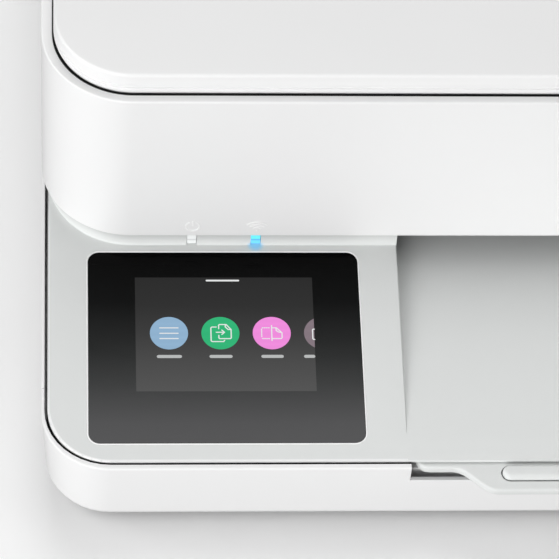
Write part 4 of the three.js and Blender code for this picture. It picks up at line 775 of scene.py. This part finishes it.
# Lines of the icons' signs, in mm from each icon's middle.
LIST_SIGN = [[(-2.8, 1.9), (2.8, 1.9)], [(-2.8, -0.05), (2.8, -0.05)], [(-2.8, -1.95), (2.8, -1.95)]]
SHEET_FOLDED = [(-0.5, 1.6), (-0.5, 2.85), (-0.25, 3.1), (1.8, 3.1), (3.3, 1.3), (3.3, -1.7),
                (3.05, -2.0), (-0.25, -2.0), (-0.5, -1.7), (-0.5, -0.8)]
SHEET_BEHIND = [(1.25, -2.6), (0.95, -3.05), (-2.6, -3.05), (-2.9, -2.75), (-2.9, 1.9), (-2.6, 2.2),
                (-1.25, 2.2)]
SHEETS_SIGN = [SHEET_BEHIND, SHEET_FOLDED, [(1.55, 3.0), (1.55, 2.2), (2.4, 1.3), (3.3, 1.3)],
               [(-1.25, 0.3), (1.2, 0.3)], [(0.45, 1.1), (1.25, 0.3), (0.45, -0.5)]]
HALF_SHEET = [(0, -2.0), (2.85, -2.0), (3.15, -1.7), (3.15, 0.1), (1.5, 1.9), (0, 1.9)]
HALF_FOLD = [(1.35, 1.8), (1.4, 0.9), (2.2, 0.35), (3.1, 0.2)]
DASH_STEP = 0.62
DASH_LENGTH = 0.25
SCAN_SIGN = [HALF_SHEET, [(0, 2.7), (0, -2.7)], HALF_FOLD]
SCAN_SIGN += [[(-0.75 - DASH_STEP * i, y), (-0.75 - DASH_LENGTH - DASH_STEP * i, y)]
              for i in range(4) for y in (1.9, -2.0)]
SCAN_SIGN += [[(-3.1, 1.45 - DASH_STEP * i), (-3.1, 1.45 - DASH_LENGTH - DASH_STEP * i)]
              for i in range(5)]
EDGE_SIGN = [[(-2.65, 1.4), (-3.0, 1.4), (-3.2, 1.1), (-3.2, -2.0), (-3.0, -2.3), (-2.65, -2.3)]]

marks = bmesh.new()
for order, sign in enumerate((LIST_SIGN, SHEETS_SIGN, SCAN_SIGN, EDGE_SIGN)):
    x = FIRST_ICON + order * ICON_PITCH
    for line in sign:
        add_stroke(marks, [(x + u * MM, ICON_S + v * MM) for u, v in line], SIGN_WIDTH)
add_stroke(marks, [(x, HANDLE_S) for x in HANDLE_XS], HANDLE_WIDTH)
screen_piece("screen_signs", marks, lit("screen_white", "e6e8e8"))

captions = bmesh.new()
for order, half in enumerate(CAPTION_HALVES):
    x = FIRST_ICON + order * ICON_PITCH
    add_stroke(captions, [(x - half, CAPTION_S), (x + half, CAPTION_S)], CAPTION_WIDTH)
add_stroke(captions, [(SCREEN_END - 2.9 * MM, CAPTION_S), (SCREEN_END - CAPTION_WIDTH / 2, CAPTION_S)],
           CAPTION_WIDTH)
screen_piece("screen_captions", captions, lit("screen_caption", "b9bbbb"))


# ---------------------------------------------------------------- signs above the two light windows
STROKE = 0.42 * MM
SIGN_SINK = 0.05 * MM
SIGN_RISE = 0.2 * MM
POWER_X = (power_lo.x + power_hi.x) / 2
POWER_Z = 51.6 * MM
POWER_RADIUS = 2.1 * MM
WIRELESS_X = (wireless_lo.x + wireless_hi.x) / 2
WIRELESS_Z = 49.7 * MM
WIRELESS_RADII = (1.5 * MM, 2.8 * MM, 4.1 * MM)
WIRELESS_DOT = 0.3 * MM


def arc_band(x, z, radius, start, end, steps=26):
    """The outline of an arc stroke with round ends, in degrees."""
    half = STROKE / 2
    tips = []
    for turn, spin in ((end, 0), (start, 180)):
        angle = math.radians(turn)
        tips.append(bend(x + radius * math.cos(angle), z + radius * math.sin(angle), half,
                         turn + spin, turn + spin + 180, 6))
    outer = bend(x, z, radius + half, start, end, steps)
    inner = bend(x, z, radius - half, end, start, steps)
    return outer + tips[0][1:-1] + inner + tips[1][1:-1]


def upright_bar(x, low, high):
    """The outline of an upright stroke with round ends."""
    half = STROKE / 2
    return bend(x, high, half, 0, 180, 8) + bend(x, low, half, 180, 360, 8)


def sign_piece(name, outlines):
    """Raised strokes on the housing's front face, in a brighter white that is a painted highlight on
    them.
    """
    bm = bmesh.new()
    face_y = CASE[2] + SIGN_SINK
    for points in outlines:
        add_loft(bm, [[(x, face_y - rise, z) for x, z in points] for rise in (0, SIGN_RISE)])
    piece_from(name, bm, "white_shell", "scanner_unit", HIGHLIGHT_WHITE, smooth=False)


sign_piece("power_sign", [arc_band(POWER_X, POWER_Z, POWER_RADIUS, 122, 418, 48),
                          upright_bar(POWER_X, POWER_Z + 0.5 * MM, POWER_Z + 2.5 * MM)])
WAVES = [arc_band(WIRELESS_X, WIRELESS_Z, radius, 42, 138) for radius in WIRELESS_RADII]
sign_piece("wireless_sign", WAVES + [bend(WIRELESS_X, WIRELESS_Z, WIRELESS_DOT, 0, 345, 23)])


# ---------------------------------------------------------------- neck's cove
NECK = (deck_lo.x, deck_hi.x, power_lo.y, REAR)
NECK_CORNER = SCANNER_CORNER - (deck_lo.x - LEFT)
COVE_HEIGHT = 0.7 * MM
COVE_WIDTH = 0.35 * MM
COVE_START = 35
# How far the cove's upper part stands out from the neck.
PROUD = 0.1 * MM


def cove_section(reach, ground, foot):
    """The cove's section as (outwards, z) points, hollow from the panel up to the neck's face."""
    first_sin = math.sin(math.radians(COVE_START))
    first_cos = math.cos(math.radians(COVE_START))
    section = [(-0.1 * MM, ground - 0.2 * MM), (reach + PROUD, foot - 0.15 * MM)]
    for i in range(8):
        turn = math.radians(COVE_START + (90 - COVE_START) * i / 7)
        inward = (math.sin(turn) - first_sin) / (1 - first_sin)
        upward = (first_cos - math.cos(turn)) / first_cos
        section.append((PROUD + reach * (1 - inward), foot + 0.02 * MM + COVE_HEIGHT * upward))
    top = HOUSING_Z - 0.35 * MM
    return section + [(PROUD, top), (-0.1 * MM, top)]


def add_cove(bm, path):
    """A cove along a path of points, outward directions and shares of the full width."""
    rings = []
    for (x, y), (across, along), share in path:
        reach = COVE_WIDTH * share
        section = cove_section(reach, panel_z(y), panel_z(y + along * reach))
        rings.append([(x + across * u, y + along * u, z) for u, z in section])
    add_loft(bm, rings)


def neck_cove():
    """The cove under the scanner, left open at the two light windows and at the output bay."""
    bm = bmesh.new()
    corner_x = NECK[0] + NECK_CORNER
    corner_y = NECK[2] + NECK_CORNER
    turned = []
    for i in range(21):
        t = math.radians(198 + 72 * i / 20)
        point = (corner_x + NECK_CORNER * math.cos(t), corner_y + NECK_CORNER * math.sin(t))
        turned.append((point, (math.cos(t), math.sin(t)), min(1, 0.05 + i / 12)))
    stations = (power_lo.x - WINDOW_GAP, power_hi.x + WINDOW_GAP,
                wireless_lo.x - WINDOW_GAP, wireless_hi.x + WINDOW_GAP, -BAY_HALF)
    front = [((x, NECK[2]), (0, -1), 1) for x in stations]
    add_cove(bm, turned + front[:1])
    add_cove(bm, front[1:3])
    add_cove(bm, front[3:])
    mirrored = [((-x, y), (-across, along), share)
                for (x, y), (across, along), share in turned + front[-1:]]
    add_cove(bm, mirrored)
    return bm


piece_from("neck_cove", neck_cove(), "grey_shell", "root")

# ---------------------------------------------------------------- deck's lip, in white as a painted highlight
DECK_LIP_SECTION = [(0.7, -0.5), (0.7, 0.0), (0.5, 0.03), (0.22, -0.03), (0.04, -0.2), (-0.03, -0.5)]
DECK_LIP_START = NECK[2] + 20 * MM
DECK_LIP_END = -BAY_HALF - 0.2 * MM


def deck_highlight_lip():
    """The soft rounded lip of the deck beside the output bay and up each side to the neck, white rather
    than the deck's grey: a painted highlight on its edge.
    """
    bm = bmesh.new()
    for side in (-1, 1):
        rings = []
        for inset, rise in DECK_LIP_SECTION:
            corner = outline(DECK, inset * MM, DECK_CORNER, DECK_CORNER)[-(CORNER_STEPS + 1):]
            path = [(corner[0][0], DECK_LIP_START)] + corner + [(DECK_LIP_END, corner[-1][1])]
            rings.append([(-side * x, y, panel_z(y) + rise * MM) for x, y in path])
        add_loft(bm, list(zip(*rings)))
    return bm


piece_from("deck_highlight_lip", deck_highlight_lip(), "white_shell", "root")

# ---------------------------------------------------------------- paper stop
STOP = (stop_lo.x, stop_hi.x, stop_lo.y, stop_hi.y)
STOP_ROUND = (stop_hi.y - stop_lo.y) / 2
POCKET_SECTION = [(-0.41, -0.9), (-0.41, -0.1), (-0.5, 0), (-1.2, 0), (-2.5, -0.03), (-2.5, -0.9)]


def stop_skin():
    """The folded paper stop, a pill that is round in section too, so that it can turn up."""
    bm = bmesh.new()
    half = (stop_hi.z - stop_lo.z) / 2
    profile = [(half * (1 - math.cos(t)), stop_lo.z + half * (1 + math.sin(t)))
               for t in (math.radians(-90 + 12 * i) for i in range(16))]
    add_sweep(bm, STOP, STOP_ROUND, STOP_ROUND, profile)
    return bm


def stop_frame():
    """The crisp flat rim of the pocket that the paper stop folds into."""
    bm = bmesh.new()
    top = SLAB_TOP + 0.02 * MM
    rings = []
    for inset, rise in POCKET_SECTION:
        ring = outline(STOP, inset * MM, STOP_ROUND, STOP_ROUND, 10)
        rings.append([(x, y, top + rise * MM) for x, y in ring])
    add_loft(bm, rings, closed=True)
    return bm


pill = piece_from("stop_pill", stop_skin(), "grey_shell", "paper_stop")
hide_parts("paper_stop")
piece_from("stop_frame", stop_frame(), "grey_shell", "output_extender")

# ---------------------------------------------------------------- stage, light and camera
FLOOR_SIZE = 12
AIM = Vector((0, 0, 0.05))
LIGHT_DISTANCE = 2.4
LIGHT_WIDTH = 1.4
# A light from above this elevation is not mirrored in the touch glass.
HIGH_LIGHT = 60

world = bpy.data.worlds.new("studio")
bpy.context.scene.world = world
world.use_nodes = True
world.node_tree.nodes["Background"].inputs["Color"].default_value = (1, 1, 1, 1)
world.node_tree.nodes["Background"].inputs["Strength"].default_value = 0.2


def studio_floor():
    """A pale floor that shows white to the camera and throws back less light on the object."""
    made = Finish("floor", "ffffff", 0.9, specular=0.1)
    seen = made.node("ShaderNodeLightPath").outputs["Is Camera Ray"]
    grain = made.noise(5, 3)
    thrown = made.drift(grain, 0.01, tone("b0b0b0"))
    made.colour_from(made.mix(seen, thrown, made.drift(grain, 0.005, tone("fafafa"))))
    return made.material


bpy.ops.mesh.primitive_plane_add(size=FLOOR_SIZE)
floor = bpy.context.object
floor.name = "floor"
floor.data.materials.append(studio_floor())


def softbox(name, azimuth, elevation, power):
    """A round soft light that looks at the printer; azimuth 0 is in front of it, 90 on its right."""
    a, e = math.radians(azimuth), math.radians(elevation)
    toward = Vector((math.sin(a) * math.cos(e), -math.cos(a) * math.cos(e), math.sin(e)))
    light = bpy.data.lights.new(name, "AREA")
    light.shape = "DISK"
    light.size = LIGHT_WIDTH
    light.energy = power
    holder = bpy.data.objects.new(name, light)
    bpy.context.scene.collection.objects.link(holder)
    holder.location = AIM + toward * LIGHT_DISTANCE
    holder.rotation_mode = "QUATERNION"
    holder.rotation_quaternion = (-toward).to_track_quat("-Z", "Y")
    holder.visible_glossy = elevation < HIGH_LIGHT


softbox("front", -20, 12, 37)
softbox("front_left", -60, 25, 8.5)
softbox("left", -90, 35, 10.5)
softbox("right", 80, 30, 7)
softbox("rear", 180, 45, 8.5)
softbox("top", 180, 70, 15.5)

LOOK_DOWN = 52.8
ROLL = 3.39
camera = bpy.data.objects.new("camera", bpy.data.cameras.new("camera"))
bpy.context.scene.collection.objects.link(camera)
bpy.context.scene.camera = camera
camera.data.sensor_width = 36
camera.data.lens = 238.74
camera.data.clip_start = 0.05
camera.data.clip_end = 50
camera.location = (-0.22233, -0.79813, 0.95352)
camera.rotation_mode = "QUATERNION"
tip = Matrix.Rotation(math.radians(90 - LOOK_DOWN), 3, "X")
turn = Matrix.Rotation(-math.radians(ROLL), 3, "Y")
camera.rotation_quaternion = (tip @ turn).to_quaternion()
bpy.context.scene.view_settings.view_transform = "Standard"
